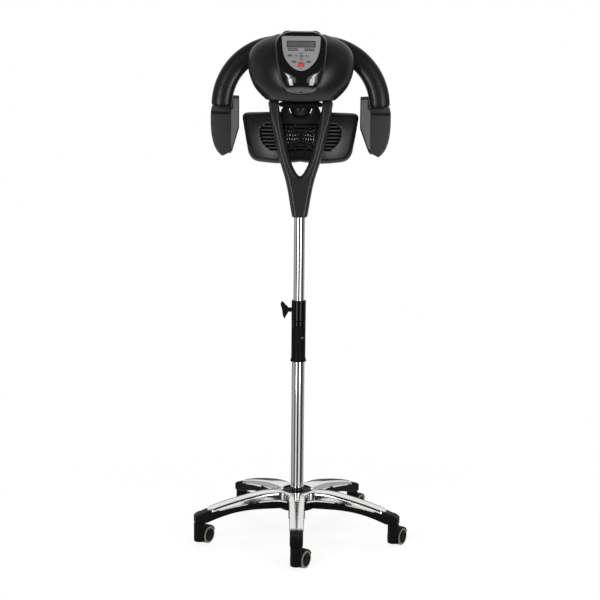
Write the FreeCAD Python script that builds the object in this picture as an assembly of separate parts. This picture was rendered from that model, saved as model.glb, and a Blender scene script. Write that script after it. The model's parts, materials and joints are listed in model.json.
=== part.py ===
import FreeCAD, Part
import os
from math import cos, radians, sin, tan
from FreeCAD import Placement, Rotation, Vector

# Hair colour processor on a five-leg rolling stand.  Millimetres, +Z up.
# Origin: on the floor, on the axis of the column.  -Y is the side of the
# control panel, +Y is the side of the person in the chair, +X is to the right
# of someone who faces the panel.

# ---------------------------------------------------------------- dimensions
# Rolling base
LEG_COUNT = 5
FIRST_LEG_ANGLE = -90.0
LEG_TIP_RADIUS = 311.0
CASTER_RADIUS = 296.0
LEG_HALF_WIDTH_HUB = 23.5
LEG_HALF_WIDTH_TIP = 20.4
COVER_WALL = 1.6
COVER_END_RADIUS = 262.0
COVER_TONGUE = 14.0
HUB_RADIUS = 60.0
HUB_CAP_RADIUS = 45.0
HUB_BOTTOM, HUB_TOP = 88.0, 133.0
LEG_END_BOTTOM = 66.0

# Twin-wheel casters
WHEEL_RADIUS = 25.0
WHEEL_INNER, WHEEL_OUTER = 8.5, 18.5
CASTER_TRAIL = 24.0
CASTER_HEADING = 57.0
HOOD_RADIUS = 28.6
HOOD_WALL = 2.4
HOOD_TOP = 65.2
SHROUD_RADIUS, SHROUD_BOTTOM = 17.0, 10.0
AXLE_RADIUS = 4.0
STEM_RADIUS = 5.5
RUNNING_GAP = 0.05

# Column, clamp and mast
COLUMN_RADIUS = 19.0
MAST_RADIUS = 16.0
TUBE_WALL = 1.5
COLUMN_BOTTOM, COLUMN_TOP = 90.0, 698.0
SLEEVE_RADIUS = 20.6
SLEEVE_LIP_RADIUS = 23.4
SLEEVE_BOTTOM, COLLAR_BOTTOM, COLLAR_TOP = 527.0, 631.0, 707.0
COLLAR_RADIUS = 21.0
WING_HEIGHT = 679.0
MAST_BOTTOM, MAST_TOP = 420.0, 976.0

# Fork
FORK_BOTTOM = 948.0
FORK_HALF_DEPTH = 20.0
TILT_HEIGHT = 1268.0
PRONG_INNER, PRONG_OUTER = 61.6, 89.5
TILT_BOLT_RADIUS, TILT_BOLT_INNER = 5.0, 43.0
TILT_BAR_RADIUS, TILT_BAR_END = 10.5, 50.0
TILT_SPACER_RADIUS, TILT_SPACER_END = 6.6, 59.4
TILT_NOTCH_RADIUS = 22.5
GLAND_HEIGHT = 995.0
GLAND_BORE_RADIUS = 4.0

# Head shells
HEAD_WALL = 3.0
DOME_REAR = 30.0
PANEL_SLOPE = 24.0
PANEL_BOTTOM_Y, PANEL_BOTTOM_Z = -100.0, 1360.4
PANEL_THICKNESS = 2.0
KEY_TRAVEL = 0.8

# Swing arms and side heaters
ARM_PIVOT_X, ARM_PIVOT_Z = 38.0, 1455.0
ARM_KNUCKLE_RADIUS = 22.0
ARM_ARC_X, ARM_ARC_Z, ARM_ARC_RADIUS = 57.5, 1264.0, 170.0
ARM_Y, ARM_HALF_WIDTH, ARM_HALF_DEPTH = 62.0, 30.0, 20.0
POD_PIVOT_X = ARM_ARC_X + ARM_ARC_RADIUS
POD_INNER_X = 197.5
POD_NEAR_Y, POD_FAR_Y = 20.0, 260.0
POD_SEAT_Z, POD_TOP_Z = 1262.5, 1295.0
POD_BROW_Z, POD_BROW_Y = 1242.0, 42.0
POD_NEAR_FLOOR_Z, POD_FAR_FLOOR_Z = 1118.0, 1197.0
RIGHT_TOE_IN, LEFT_TOE_IN = 5.0, 3.2
POD_WALL = 3.0
POD_PIVOT_RADIUS = 8.0

# Nape heater
NAPE_PIVOT_Y, NAPE_PIVOT_Z = 45.0, 1262.0
KNUCKLE_RADIUS = 31.0
NAPE_BACK_Y, NAPE_RIM_Y = 30.0, 104.0
NAPE_CENTRE_Z = 1174.0
NAPE_BULGE_RADIUS, NAPE_BELLY_RADIUS = 420.0, 230.0
FAN_HALF = 40.0
VENT_HEIGHT = 5.0

PARTS_FOLDER = "parts"


# -------------------------------------------------------------------- helpers
def export(node, *solids):
    """Write one node; several separate solids become one group."""
    shape = solids[0] if len(solids) == 1 else Part.makeCompound(list(solids))
    shape.exportStep(os.path.join(PARTS_FOLDER, node + ".step"))


def box(x, y, z):
    """Block between the two ends of each of three ranges."""
    low = Vector(min(x), min(y), min(z))
    return Part.makeBox(max(x) - low.x, max(y) - low.y, max(z) - low.z, low)


def rod(radius, start, end):
    """Round bar from one point to another."""
    start, end = Vector(*start), Vector(*end)
    way = end - start
    return Part.makeCylinder(radius, way.Length, start, way)


def pipe(outer, inner, start, end):
    return rod(outer, start, end).cut(rod(inner, start, end))


def in_plane(plane, u, v):
    return {"xz": Vector(u, 0, v), "yz": Vector(0, u, v), "xy": Vector(u, v, 0)}[plane]


def outline(plane, *runs):
    """Closed face: a run of two points is straight, a longer one is a smooth curve."""
    edges = []
    for run in runs:
        points = [in_plane(plane, u, v) for u, v in run]
        if len(points) == 2:
            edges.append(Part.makeLine(*points))
        else:
            curve = Part.BSplineCurve()
            curve.interpolate(points)
            edges.append(curve.toShape())
    first, last = runs[0][0], runs[-1][-1]
    if abs(first[0] - last[0]) + abs(first[1] - last[1]) > 1e-6:
        edges.append(Part.makeLine(in_plane(plane, *last), in_plane(plane, *first)))
    return Part.Face(Part.Wire(Part.__sortEdges__(edges)))


def slab(plane, runs, low, high):
    """Outline pushed from low to high along the plane's normal."""
    normal = {"xz": Vector(0, 1, 0), "yz": Vector(1, 0, 0), "xy": Vector(0, 0, 1)}[plane]
    face = outline(plane, *runs)
    face.translate(normal * low)
    return face.extrude(normal * (high - low))


def polygon_runs(points):
    return [[a, b] for a, b in zip(points, points[1:] + points[:1])]


def flipped(points):
    """The same run on the other side of X = 0, walked backwards."""
    return [(-u, v) for u, v in reversed(points)]


def turned(shape, angle, centre=(0, 0, 0), axis=(0, 0, 1)):
    copy = shape.copy()
    copy.rotate(Vector(*centre), Vector(*axis), angle)
    return copy


def moved(shape, x, y, z):
    copy = shape.copy()
    copy.translate(Vector(x, y, z))
    return copy


def left_of(shape):
    return shape.mirror(Vector(0, 0, 0), Vector(1, 0, 0))


def joined(shapes):
    return shapes[0].multiFuse(shapes[1:]).removeSplitter()


def skin(sections):
    """Smooth solid through a pile of closed wires."""
    return Part.makeLoft(sections, True, False)


# ----------------------------------------------------------------- base frame
LEG_RIDGE = [(40, 141.5), (90, 144), (145, 137), (205, 124.5), (262, 108.8), (290, 99)]
LEG_ARCH = [(30, 90), (87, 92.5), (148, 93.5), (209, 86.2), (262, 71), (276, LEG_END_BOTTOM)]
COVER_HEM = [(40, 112), (88, 116), (160, 112), (210, 106), (240, 101)]


def leg_angles():
    return [FIRST_LEG_ANGLE + 360.0 / LEG_COUNT * k for k in range(LEG_COUNT)]


def around_base(shape):
    return [turned(shape, angle) for angle in leg_angles()]


def leg_plan(inset, end_radius, tongue):
    """Tapered leg seen from above, with a rounded tongue at its end."""
    hub, tip = LEG_HALF_WIDTH_HUB - inset, LEG_HALF_WIDTH_TIP - inset
    end = [(end_radius, tip), (end_radius + 0.8 * tongue, 0.55 * tip),
           (end_radius + tongue, 0), (end_radius + 0.8 * tongue, -0.55 * tip), (end_radius, -tip)]
    return slab("xy", [[(0, hub), (end_radius, tip)], end, [(end_radius, -tip), (0, -hub)]], 0, 200)


def cover_leg(inset):
    """One leg of the star cover as a solid, inset from its outer faces."""
    ridge = [(r, z - inset) for r, z in LEG_RIDGE]
    hem = [(r, z - 30 * (inset > 0)) for r, z in COVER_HEM]
    drop = 30 * (inset > 0)
    side = slab("xz", [ridge, [(290, 99 - inset), (290, 94 - drop)], [(290, 94 - drop), (247, 105.5 - drop)],
                       [(247, 105.5 - drop), hem[-1]], list(reversed(hem)), [hem[0], ridge[0]]], -40, 40)
    return side.common(leg_plan(inset, COVER_END_RADIUS - inset, COVER_TONGUE))


def cover_solid(inset):
    hub = rod(HUB_RADIUS - inset, (0, 0, 112 - 30 * (inset > 0)), (0, 0, 141.5 - inset))
    return joined([hub] + around_base(cover_leg(inset)))


def base_spider():
    """Nylon spider: hub, five arched legs and a socket at each leg end."""
    end = [LEG_ARCH[-1], (LEG_TIP_RADIUS - 3, LEG_END_BOTTOM)]
    nose = [(LEG_TIP_RADIUS - 3, LEG_END_BOTTOM), (LEG_TIP_RADIUS, 76), (LEG_TIP_RADIUS - 3, 87)]
    top = [(LEG_TIP_RADIUS - 3, 87), (296, 95.5), (270, 106), (240, 113), (40, 120)]
    side = slab("xz", [LEG_ARCH, end, nose, top, [top[-1], LEG_ARCH[0]]], -40, 40)
    plan = slab("xy", polygon_runs([(0, 21), (290, 18.5), (306, 16), (LEG_TIP_RADIUS, 9),
                                    (LEG_TIP_RADIUS, -9), (306, -16), (290, -18.5), (0, -21)]), 0, 200)
    leg = side.common(plan)
    hub = rod(HUB_RADIUS - 4, (0, 0, HUB_BOTTOM), (0, 0, 112))
    post = rod(34, (0, 0, HUB_BOTTOM), (0, 0, HUB_TOP))
    body = joined([hub] + around_base(leg)).cut(cover_solid(0))
    body = joined([body, post] + around_base(clip_pair()))
    body = body.cut(rod(COLUMN_RADIUS, (0, 0, 0), (0, 0, 200)))
    for socket in around_base(rod(STEM_RADIUS, (CASTER_RADIUS, 0, 0), (CASTER_RADIUS, 0, 84))):
        body = body.cut(socket)
    return body


def clip_pair():
    """Catches that stand up both sides of a leg and hold the cover."""
    catch = box((118, 157), (20.2, 22.4), (100, 122))
    bridge = box((118, 157), (-22.4, 22.4), (99, 110))
    return joined([bridge, catch, catch.mirror(Vector(0, 0, 0), Vector(0, 1, 0))])


def star_cover():
    """One-piece bright cover, open below, notched over the catches."""
    shell = cover_solid(0).cut(cover_solid(COVER_WALL))
    shell = shell.cut(rod(HUB_CAP_RADIUS + 0.6, (0, 0, 0), (0, 0, 200)))
    notch = box((117.6, 157.4), (-40, 40), (90, 122.4))
    for gap in around_base(notch):
        shell = shell.cut(gap)
    return shell


def hub_cap():
    low, high = HUB_TOP, HUB_TOP + 5
    disc = Part.makeCone(HUB_CAP_RADIUS, HUB_CAP_RADIUS - 3, high - low, Vector(0, 0, low))
    return disc.cut(rod(COLUMN_RADIUS, (0, 0, 0), (0, 0, 200)))


# -------------------------------------------------------------------- casters
def caster_stem():
    shaft = rod(STEM_RADIUS, (0, 0, 36), (0, 0, 84))
    flange = rod(9, (0, 0, HOOD_TOP + 0.3), (0, 0, LEG_END_BOTTOM))
    return joined([shaft, flange])


def across(radius, start, end):
    """Round bar along the wheel axle of a caster that trails along +X."""
    return rod(radius, (CASTER_TRAIL, start, WHEEL_RADIUS), (CASTER_TRAIL, end, WHEEL_RADIUS))


def caster_housing():
    """Hood over the wheels, web between them, and a round shroud in front that holds the stem."""
    hood = across(HOOD_RADIUS, -WHEEL_OUTER, WHEEL_OUTER)
    hollow = HOOD_RADIUS - HOOD_WALL
    hood = hood.cut(across(hollow, 7, 30)).cut(across(hollow, -30, -7))
    hood = hood.cut(box((CASTER_TRAIL + 4, 80), (-30, 30), (-10, 33)))
    hood = hood.cut(box((-30, 80), (-30, 30), (-10, 12)))
    boss = across(9, -7, 7)
    neck = slab("xz", polygon_runs([(-9, 34), (10, 34), (24, 52), (10, HOOD_TOP), (-9, HOOD_TOP)]), -7, 7)
    shroud = rod(SHROUD_RADIUS, (0, 0, SHROUD_BOTTOM), (0, 0, HOOD_TOP))
    pockets = across(hollow, 7, 30).fuse(across(hollow, -30, -7))
    body = joined([hood, boss, neck, shroud]).cut(pockets)
    body = body.cut(rod(STEM_RADIUS + RUNNING_GAP, (0, 0, 34), (0, 0, 90)))
    return body.cut(across(AXLE_RADIUS + RUNNING_GAP, -30, 30))


def caster_wheel():
    """Soft tread with a rounded edge on a dished hub."""
    wheel = across(WHEEL_RADIUS, WHEEL_INNER, WHEEL_OUTER)
    rims = [edge for edge in wheel.Edges if edge.isClosed()]
    wheel = wheel.makeFillet(2.5, rims)
    wheel = wheel.cut(across(17.5, WHEEL_OUTER - 1.2, WHEEL_OUTER + 5))
    return wheel.cut(across(AXLE_RADIUS, 0, 30))


def caster_wheels():
    near = caster_wheel()
    far = near.mirror(Vector(0, 0, 0), Vector(0, 1, 0))
    return [near, far, across(AXLE_RADIUS, 1 - WHEEL_OUTER, WHEEL_OUTER - 1)]


def at_caster(shape, leg_angle):
    """A caster piece on its leg; all casters trail the same way."""
    x, y = CASTER_RADIUS * cos(radians(leg_angle)), CASTER_RADIUS * sin(radians(leg_angle))
    return moved(turned(shape, CASTER_HEADING), x, y, 0)


# ------------------------------------------------------------ column and mast
SCREW_ANGLES = (-59.5, 120.5)
SCREW_HEIGHT = 599.0


def side_screw():
    head = rod(3.6, (SLEEVE_RADIUS - 0.6, 0, SCREW_HEIGHT), (SLEEVE_RADIUS + 1.2, 0, SCREW_HEIGHT))
    shank = rod(2.0, (COLUMN_RADIUS - TUBE_WALL, 0, SCREW_HEIGHT), (SLEEVE_RADIUS, 0, SCREW_HEIGHT))
    return joined([head, shank])


def with_screw_holes(shape):
    for angle in SCREW_ANGLES:
        shape = shape.cut(turned(side_screw(), angle))
    return shape


def clamp_sleeve():
    lip = Part.makeCone(SLEEVE_LIP_RADIUS, SLEEVE_RADIUS, 8, Vector(0, 0, SLEEVE_BOTTOM))
    body = joined([lip, rod(SLEEVE_RADIUS, (0, 0, SLEEVE_BOTTOM), (0, 0, COLLAR_BOTTOM))])
    return with_screw_holes(body.cut(rod(COLUMN_RADIUS, (0, 0, 0), (0, 0, 900))))


def clamp_collar():
    """Collar with a seat for the wing screw and a lip over the column's end."""
    body = rod(COLLAR_RADIUS, (0, 0, COLLAR_BOTTOM), (0, 0, COLLAR_TOP))
    body = body.cut(rod(COLUMN_RADIUS, (0, 0, 0), (0, 0, COLUMN_TOP)))
    seat = rod(9, (-25, 0, WING_HEIGHT), (-COLUMN_RADIUS - 0.2, 0, WING_HEIGHT))
    body = joined([body, seat]).cut(rod(COLUMN_RADIUS, (0, 0, 0), (0, 0, COLUMN_TOP)))
    body = body.cut(rod(MAST_RADIUS + 0.4, (0, 0, 0), (0, 0, 900)))
    return body.cut(rod(4 + RUNNING_GAP, (-60, 0, WING_HEIGHT), (0, 0, WING_HEIGHT)))


def column():
    body = pipe(COLUMN_RADIUS, COLUMN_RADIUS - TUBE_WALL, (0, 0, COLUMN_BOTTOM), (0, 0, COLUMN_TOP))
    body = with_screw_holes(body)
    return body.cut(rod(4.5, (-60, 0, WING_HEIGHT), (0, 0, WING_HEIGHT)))


def slide_bush():
    body = pipe(COLUMN_RADIUS - TUBE_WALL, MAST_RADIUS + RUNNING_GAP,
                (0, 0, SCREW_HEIGHT + 8), (0, 0, COLUMN_TOP))
    return body.cut(rod(4.5, (-60, 0, WING_HEIGHT), (0, 0, WING_HEIGHT)))


def wing_screw():
    """Clamping screw with a two-lobed wing that leans outwards at its top."""
    shaft = rod(4, (-MAST_RADIUS - 0.3, 0, WING_HEIGHT), (-30, 0, WING_HEIGHT))
    boss = rod(6.3, (-25.5, 0, WING_HEIGHT), (-44, 0, WING_HEIGHT))
    lobe = [(-42, 652), (-38, 664), (-38, 690), (-48, 703), (-55, 700), (-54, 688), (-49, 664), (-46, 652)]
    wing = slab("xz", [lobe + [lobe[0]]], -4.5, 4.5)
    return joined([shaft, boss, wing])


# ------------------------------------------------------------------------ fork
def fork():
    """Two prongs that rise from a socket and end in round tilt eyes."""
    outer = [(22, FORK_BOTTOM), (25.7, 968), (33.3, 1014), (43.5, 1060), (56.8, 1102), (76.8, 1182),
             (86.6, 1224), (PRONG_OUTER, TILT_HEIGHT)]
    top = [(PRONG_OUTER, TILT_HEIGHT), (PRONG_OUTER, TILT_HEIGHT + FORK_HALF_DEPTH)]
    inner = [(PRONG_INNER, TILT_HEIGHT), (57.5, 1240), (42.3, 1168), (23, 1100), (11.5, 1077), (0, 1066)]
    crown = [(PRONG_OUTER, TILT_HEIGHT + FORK_HALF_DEPTH), (PRONG_INNER, TILT_HEIGHT + FORK_HALF_DEPTH)]
    drop = [(PRONG_INNER, TILT_HEIGHT + FORK_HALF_DEPTH), (PRONG_INNER, TILT_HEIGHT)]
    inner_all = inner + flipped(inner[:-1])
    body = slab("xz", [outer, top, crown, drop, inner_all,
                       flipped(drop), flipped(crown), flipped(top), flipped(outer)],
                -FORK_HALF_DEPTH, FORK_HALF_DEPTH)
    diagonal = FORK_HALF_DEPTH * cos(radians(45))
    side = slab("yz", [[(-FORK_HALF_DEPTH, FORK_BOTTOM), (-FORK_HALF_DEPTH, TILT_HEIGHT)],
                       [(-FORK_HALF_DEPTH, TILT_HEIGHT), (-diagonal, TILT_HEIGHT + diagonal),
                        (0, TILT_HEIGHT + FORK_HALF_DEPTH), (diagonal, TILT_HEIGHT + diagonal),
                        (FORK_HALF_DEPTH, TILT_HEIGHT)],
                       [(FORK_HALF_DEPTH, TILT_HEIGHT), (FORK_HALF_DEPTH, FORK_BOTTOM)]], -120, 120)
    body = body.common(side)
    body = body.cut(rod(MAST_RADIUS + RUNNING_GAP, (0, 0, 900), (0, 0, MAST_TOP + 0.5)))
    body = body.cut(rod(9, (0, 0, MAST_TOP), (0, 0, 1030)))
    body = body.cut(rod(8, (0, 4, GLAND_HEIGHT), (0, 40, GLAND_HEIGHT)))
    return body.cut(rod(TILT_BOLT_RADIUS, (-120, 0, TILT_HEIGHT), (120, 0, TILT_HEIGHT)))


def mains_gland():
    """Cable gland in the back of the fork; its bore takes the supply lead."""
    body = joined([rod(8, (0, 4, GLAND_HEIGHT), (0, FORK_HALF_DEPTH, GLAND_HEIGHT)),
                   rod(11, (0, FORK_HALF_DEPTH, GLAND_HEIGHT), (0, 28, GLAND_HEIGHT)),
                   rod(8.5, (0, 28, GLAND_HEIGHT), (0, 36, GLAND_HEIGHT))])
    return body.cut(rod(GLAND_BORE_RADIUS, (0, 0, GLAND_HEIGHT), (0, 50, GLAND_HEIGHT)))


def tilt_bolts():
    head = PRONG_OUTER + 0.4
    bolt = joined([rod(TILT_BOLT_RADIUS, (TILT_BOLT_INNER + 1, 0, TILT_HEIGHT), (head, 0, TILT_HEIGHT)),
                   rod(9, (head, 0, TILT_HEIGHT), (head + 1.2, 0, TILT_HEIGHT))])
    return [bolt, left_of(bolt)]


# ------------------------------------------------------------------------ head
# Half-width and front depth of the dome at each height.
DOME_LEVELS = [(1262, 70, 40), (1279, 95, 56), (1296, 114, 68), (1318, 132, 78), (1346, 144.5, 83),
               (1380, 150, 80), (1412, 145, 68), (1433, 131, 54), (1452, 100, 36), (1464, 68, 20)]
# Half-width and rear depth of the crown canopy at each height.
CANOPY_LEVELS = [(1312, 118, 96), (1350, 121, 104), (1395, 113, 98), (1432, 86, 72), (1454, 50, 40)]
CANOPY_FRONT, CANOPY_BEND = 94.0, 128.0


def bowl_wire(z, half_width, depth, near_y, bend_y, facing):
    """Straight sides from near_y to bend_y and half an ellipse beyond them."""
    bow = Part.Ellipse(Vector(0, bend_y, z), max(half_width, depth), min(half_width, depth))
    if depth > half_width:
        bow.rotate(Placement(Vector(0, bend_y, z), Rotation(Vector(0, 0, 1), 90)))
    a, c = Vector(-half_width, bend_y, z), Vector(half_width, bend_y, z)
    b = Vector(0, bend_y + facing * depth, z)
    near_a, near_c = Vector(-half_width, near_y, z), Vector(half_width, near_y, z)
    straight = [Part.makeLine(near_a, a), Part.makeLine(c, near_c), Part.makeLine(near_c, near_a)]
    edges = straight[:1] + ellipse_halves(bow, a, b, c) + straight[1:]
    return Part.Wire(edges)


def ellipse_halves(bow, a, b, c):
    """The two quarter arcs of an ellipse from a over b to c."""
    arcs = []
    for start, end in ((a, b), (b, c)):
        first, last = bow.parameter(start), bow.parameter(end)
        if first > last:
            first, last = last, first
        if last - first > 3.2:
            first, last = last, first + 2 * 3.141592653589793
        arcs.append(bow.toShape(first, last))
    return arcs


def dome_solid(inset):
    rear = DOME_REAR + 20 * (inset > 0)
    return skin([bowl_wire(z - inset * (z > 1400), w - inset, d - inset, rear, 0, -1)
                 for z, w, d in DOME_LEVELS])


def canopy_solid(inset):
    front = CANOPY_FRONT - 20 * (inset > 0)
    drop = 20 * (inset > 0)
    levels = [(CANOPY_LEVELS[0][0] - drop,) + CANOPY_LEVELS[0][1:]] + CANOPY_LEVELS[1:]
    return skin([bowl_wire(z - inset * (z > 1400), w - inset, d - inset, front, CANOPY_BEND, 1)
                 for z, w, d in levels])


def lip_cutter():
    """Everything below the dome's lower edge, which dips towards the front."""
    return slab("yz", polygon_runs([(-200, 1257), (60, 1290), (60, 1200), (-200, 1200)]), -200, 200)


def dome_cover():
    """Front shell, open below, with a round notch in its lip over each tilt eye."""
    shell = dome_solid(0).cut(dome_solid(HEAD_WALL)).cut(lip_cutter())
    for side in (-1, 1):
        shell = shell.cut(across_tilt(TILT_NOTCH_RADIUS, side * (PRONG_INNER - 2), side * (PRONG_OUTER + 2)))
    return shell.cut(box((-46, 46), (-120, -20), (1368, 1450)))


FAIRING_SIDE = [(0, 1294), (23.7, 1297), (41.7, 1308), (58.4, 1335), (68.7, 1390), (71, 1420), (70.5, 1442),
                (57.6, 1462.5)]


def fairing_solid(inset):
    """Tongue that carries the panel: front outline, side profile and rounded plan."""
    side = [(x * (1 - inset / 70), z - inset * (z > 1400) + inset * (z < 1340)) for x, z in FAIRING_SIDE]
    top = [(57.6 - inset, 1462.5 - inset), (46.4 - inset, 1472.5 - inset)]
    front = slab("xz", [side[:-1] + [top[0]], top, [top[1], flipped(top)[0]], flipped(top),
                        flipped(side[:-1] + [top[0]])], -140, DOME_REAR)
    back = PANEL_THICKNESS / cos(radians(PANEL_SLOPE)) + inset
    low_y = PANEL_BOTTOM_Y + back
    high_z = 1462 - inset
    high_y = low_y + (high_z - PANEL_BOTTOM_Z) * tan(radians(PANEL_SLOPE))
    brow_z = 1472.5 - inset
    side_view = slab("yz", [[(low_y + 44, 1288 + inset), (low_y + 12, 1298 + inset), (low_y - 5, 1322),
                             (low_y - 7, 1344), (low_y, PANEL_BOTTOM_Z)],
                            [(low_y, PANEL_BOTTOM_Z), (high_y, high_z)],
                            [(high_y, high_z), (high_y + 3, brow_z - 4), (high_y + 12, brow_z)],
                            [(high_y + 12, brow_z), (DOME_REAR, brow_z)],
                            [(DOME_REAR, brow_z), (DOME_REAR, 1288 + inset)]], -90, 90)
    plan = rod(115 - inset, (0, 7, 1250), (0, 7, 1500))
    return front.common(side_view).common(plan)


def centre_fairing():
    body = fairing_solid(0).cut(fairing_solid(HEAD_WALL)).cut(dome_solid(0))
    openings = panel_placed(panel_openings(-10, 10))
    for hole in openings:
        body = body.cut(hole)
    return max(body.Solids, key=lambda solid: solid.Volume)


def on_panel(shape):
    """From the panel's own frame: X across, Z up its slope, -Y out of its face."""
    copy = shape.copy()
    turn = Rotation(Vector(1, 0, 0), -PANEL_SLOPE)
    copy.Placement = Placement(Vector(0, PANEL_BOTTOM_Y, PANEL_BOTTOM_Z), turn).multiply(copy.Placement)
    return copy


def up_slope(height):
    """Distance up the panel of something at this height above the floor."""
    return (height - PANEL_BOTTOM_Z) / cos(radians(PANEL_SLOPE))


# Name, centre across, centre height above the floor, width, height up the slope.
KEYS = [("key_up", 1, 1408.6, 10, 6), ("key_left", -14, 1401, 10, 6), ("key_select", 1, 1400.4, 10, 6),
        ("key_right", 16, 1401, 10, 6), ("key_down", 1, 1392.2, 10, 6), ("key_mode", -31, 1402, 11, 6),
        ("key_programme", -19.6, 1385, 11, 6), ("key_timer", 20.6, 1385, 11, 6),
        ("key_start", 0, 1377.6, 17, 13)]
KEY_CLEARANCE = 0.4
SCREEN = (-38.7, 38.7, 1425.6, 1442.0)


def key_block(across_x, height, wide, tall, grow, near, far):
    middle = up_slope(height)
    return box((across_x - wide / 2 - grow, across_x + wide / 2 + grow), (near, far),
               (middle - tall / 2 - grow, middle + tall / 2 + grow))


def panel_openings(near, far):
    left, right, low, high = SCREEN
    holes = [box((left, right), (near, far), (up_slope(low), up_slope(high)))]
    return holes + [key_block(*key[1:], KEY_CLEARANCE, near, far) for key in KEYS]


def panel_placed(shapes):
    return [on_panel(shape) for shape in shapes]


def panel_plate():
    """Shield-shaped fascia with a straight top and a rounded foot."""
    side = [(x, up_slope(z)) for x, z in [(0, 1360.4), (13, 1362.8), (27, 1372.5), (43, 1392), (51, 1418),
                                          (54, 1452)]]
    top = [(54, up_slope(1452)), (51, up_slope(1456))]
    plate = slab("xz", [side, top, [top[1], flipped(top)[0]], flipped(top), flipped(side)],
                 0, PANEL_THICKNESS)
    for hole in panel_openings(-5, 5):
        plate = plate.cut(hole)
    return on_panel(plate)


def lcd_window():
    left, right, low, high = SCREEN
    return on_panel(box((left, right), (0.3, PANEL_THICKNESS + 3), (up_slope(low), up_slope(high))))


def key_cap(key):
    return on_panel(key_block(*key[1:], 0, -0.6, PANEL_THICKNESS + 2.2))


def control_board():
    """Circuit board in the dome's window behind the panel, with its display and switch bodies."""
    board = box((-40, 40), (8.2, 9.8), (up_slope(1376), up_slope(1444)))
    display = box((-36, 36), (PANEL_THICKNESS + 3, 8.2), (up_slope(1426), up_slope(1441.5)))
    switches = [box((x - 3, x + 3), (PANEL_THICKNESS + 2.2 + KEY_TRAVEL + 0.3, 8.2),
                    (up_slope(z) - 2.4, up_slope(z) + 2.4)) for _, x, z, _, _ in KEYS]
    return on_panel(joined([board, display] + switches))


def plate_runs(levels, inset):
    """Upright outline through half-widths at rising heights, mirrored and closed."""
    side = [(w - inset, z) for z, w in levels]
    return [side, [side[-1], (-side[-1][0], side[-1][1])], flipped(side)]


def across_tilt(radius, start, end):
    return rod(radius, (start, 0, TILT_HEIGHT), (end, 0, TILT_HEIGHT))


def head_chassis():
    """Cast frame: tilt bar, nape knuckle, spine and the two plates that hold the arm pins."""
    front_plate = slab("xz", plate_runs([(1292, 88), (1318, 118), (1346, 134), (1380, 141), (1412, 135),
                                         (1433, 118), (1462, 58), (1474, 48)], 0), DOME_REAR + 1, 39)
    rear_plate = slab("xz", plate_runs([(1312, 112), (1350, 116), (1395, 108), (1432, 80), (1462, 58),
                                        (1474, 48)], 0), 85, CANOPY_FRONT)
    spine = box((-13, 13), (39, 85), (1330, 1474))
    floor = box((-57, 57), (12, 92), (1291, 1330))
    floor = floor.cut(box((-60, 60), (-50, DOME_REAR + 1), (1312, 1400)))
    tilt_bar = joined([across_tilt(TILT_BAR_RADIUS, -TILT_BAR_END, TILT_BAR_END),
                       across_tilt(TILT_SPACER_RADIUS, -TILT_SPACER_END, TILT_SPACER_END)])
    bracket = slab("yz", polygon_runs([(-4, 1262), (-6, 1276), (12, 1330), (31, 1330), (31, 1291), (10, 1262)]),
                   -54, 54)
    ball = Part.makeSphere(KNUCKLE_RADIUS, Vector(0, NAPE_PIVOT_Y, NAPE_PIVOT_Z))
    neck = rod(18, (0, NAPE_PIVOT_Y, NAPE_PIVOT_Z), (0, NAPE_PIVOT_Y, 1295))
    body = joined([floor, front_plate, rear_plate, spine, bracket, tilt_bar, ball, neck])
    for side in (-1, 1):
        body = body.cut(across_tilt(TILT_BOLT_RADIUS + RUNNING_GAP, side * TILT_BOLT_INNER, side * 80))
    body = body.cut(nape_pin_rod(RUNNING_GAP))
    for side in (-1, 1):
        body = body.cut(arm_pin_rod(side, 0))
    return body


def arm_pin_rod(side, grow):
    x = side * ARM_PIVOT_X
    return rod(5 + grow, (x, DOME_REAR + 2, ARM_PIVOT_Z), (x, CANOPY_FRONT - 0.5, ARM_PIVOT_Z))


def nape_pin_rod(grow):
    return rod(4 + grow, (-46, NAPE_PIVOT_Y, NAPE_PIVOT_Z), (46, NAPE_PIVOT_Y, NAPE_PIVOT_Z))


def crown_canopy():
    return canopy_solid(0).cut(canopy_solid(HEAD_WALL))


def crown_reflector():
    """Bright tray with sloping sides above the crown lamps."""
    tray = polygon_runs([(-84, 1330), (-70, 1352), (70, 1352), (84, 1330), (82.6, 1330), (69, 1350.8),
                         (-69, 1350.8), (-82.6, 1330)])
    return slab("xz", tray, CANOPY_FRONT + 3, 192)


def crown_lamps():
    """Two straight quartz lamps with ceramic ends."""
    lamps = []
    for x in (-32, 32):
        lamps.append(rod(5, (x, 108, 1338), (x, 180, 1338)))
        lamps += [box((x - 6, x + 6), (y, y + 8), (1332, 1350.6)) for y in (100, 180)]
    return lamps


def crown_guard():
    """Slotted plate that closes the canopy from below."""
    plate = bowl_face(CANOPY_LEVELS[0], HEAD_WALL + 0.2, 1314, 1316.5)
    for step in range(9):
        y = 116 + 11 * step
        plate = plate.cut(box((-78, -4), (y, y + 6), (1300, 1330)))
        plate = plate.cut(box((4, 78), (y, y + 6), (1300, 1330)))
    return plate


def bowl_face(level, inset, low, high):
    _, w, d = level
    wire = bowl_wire(low, w - inset, d - inset, CANOPY_FRONT + 0.2, CANOPY_BEND, 1)
    return Part.Face(wire).extrude(Vector(0, 0, high - low))


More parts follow.
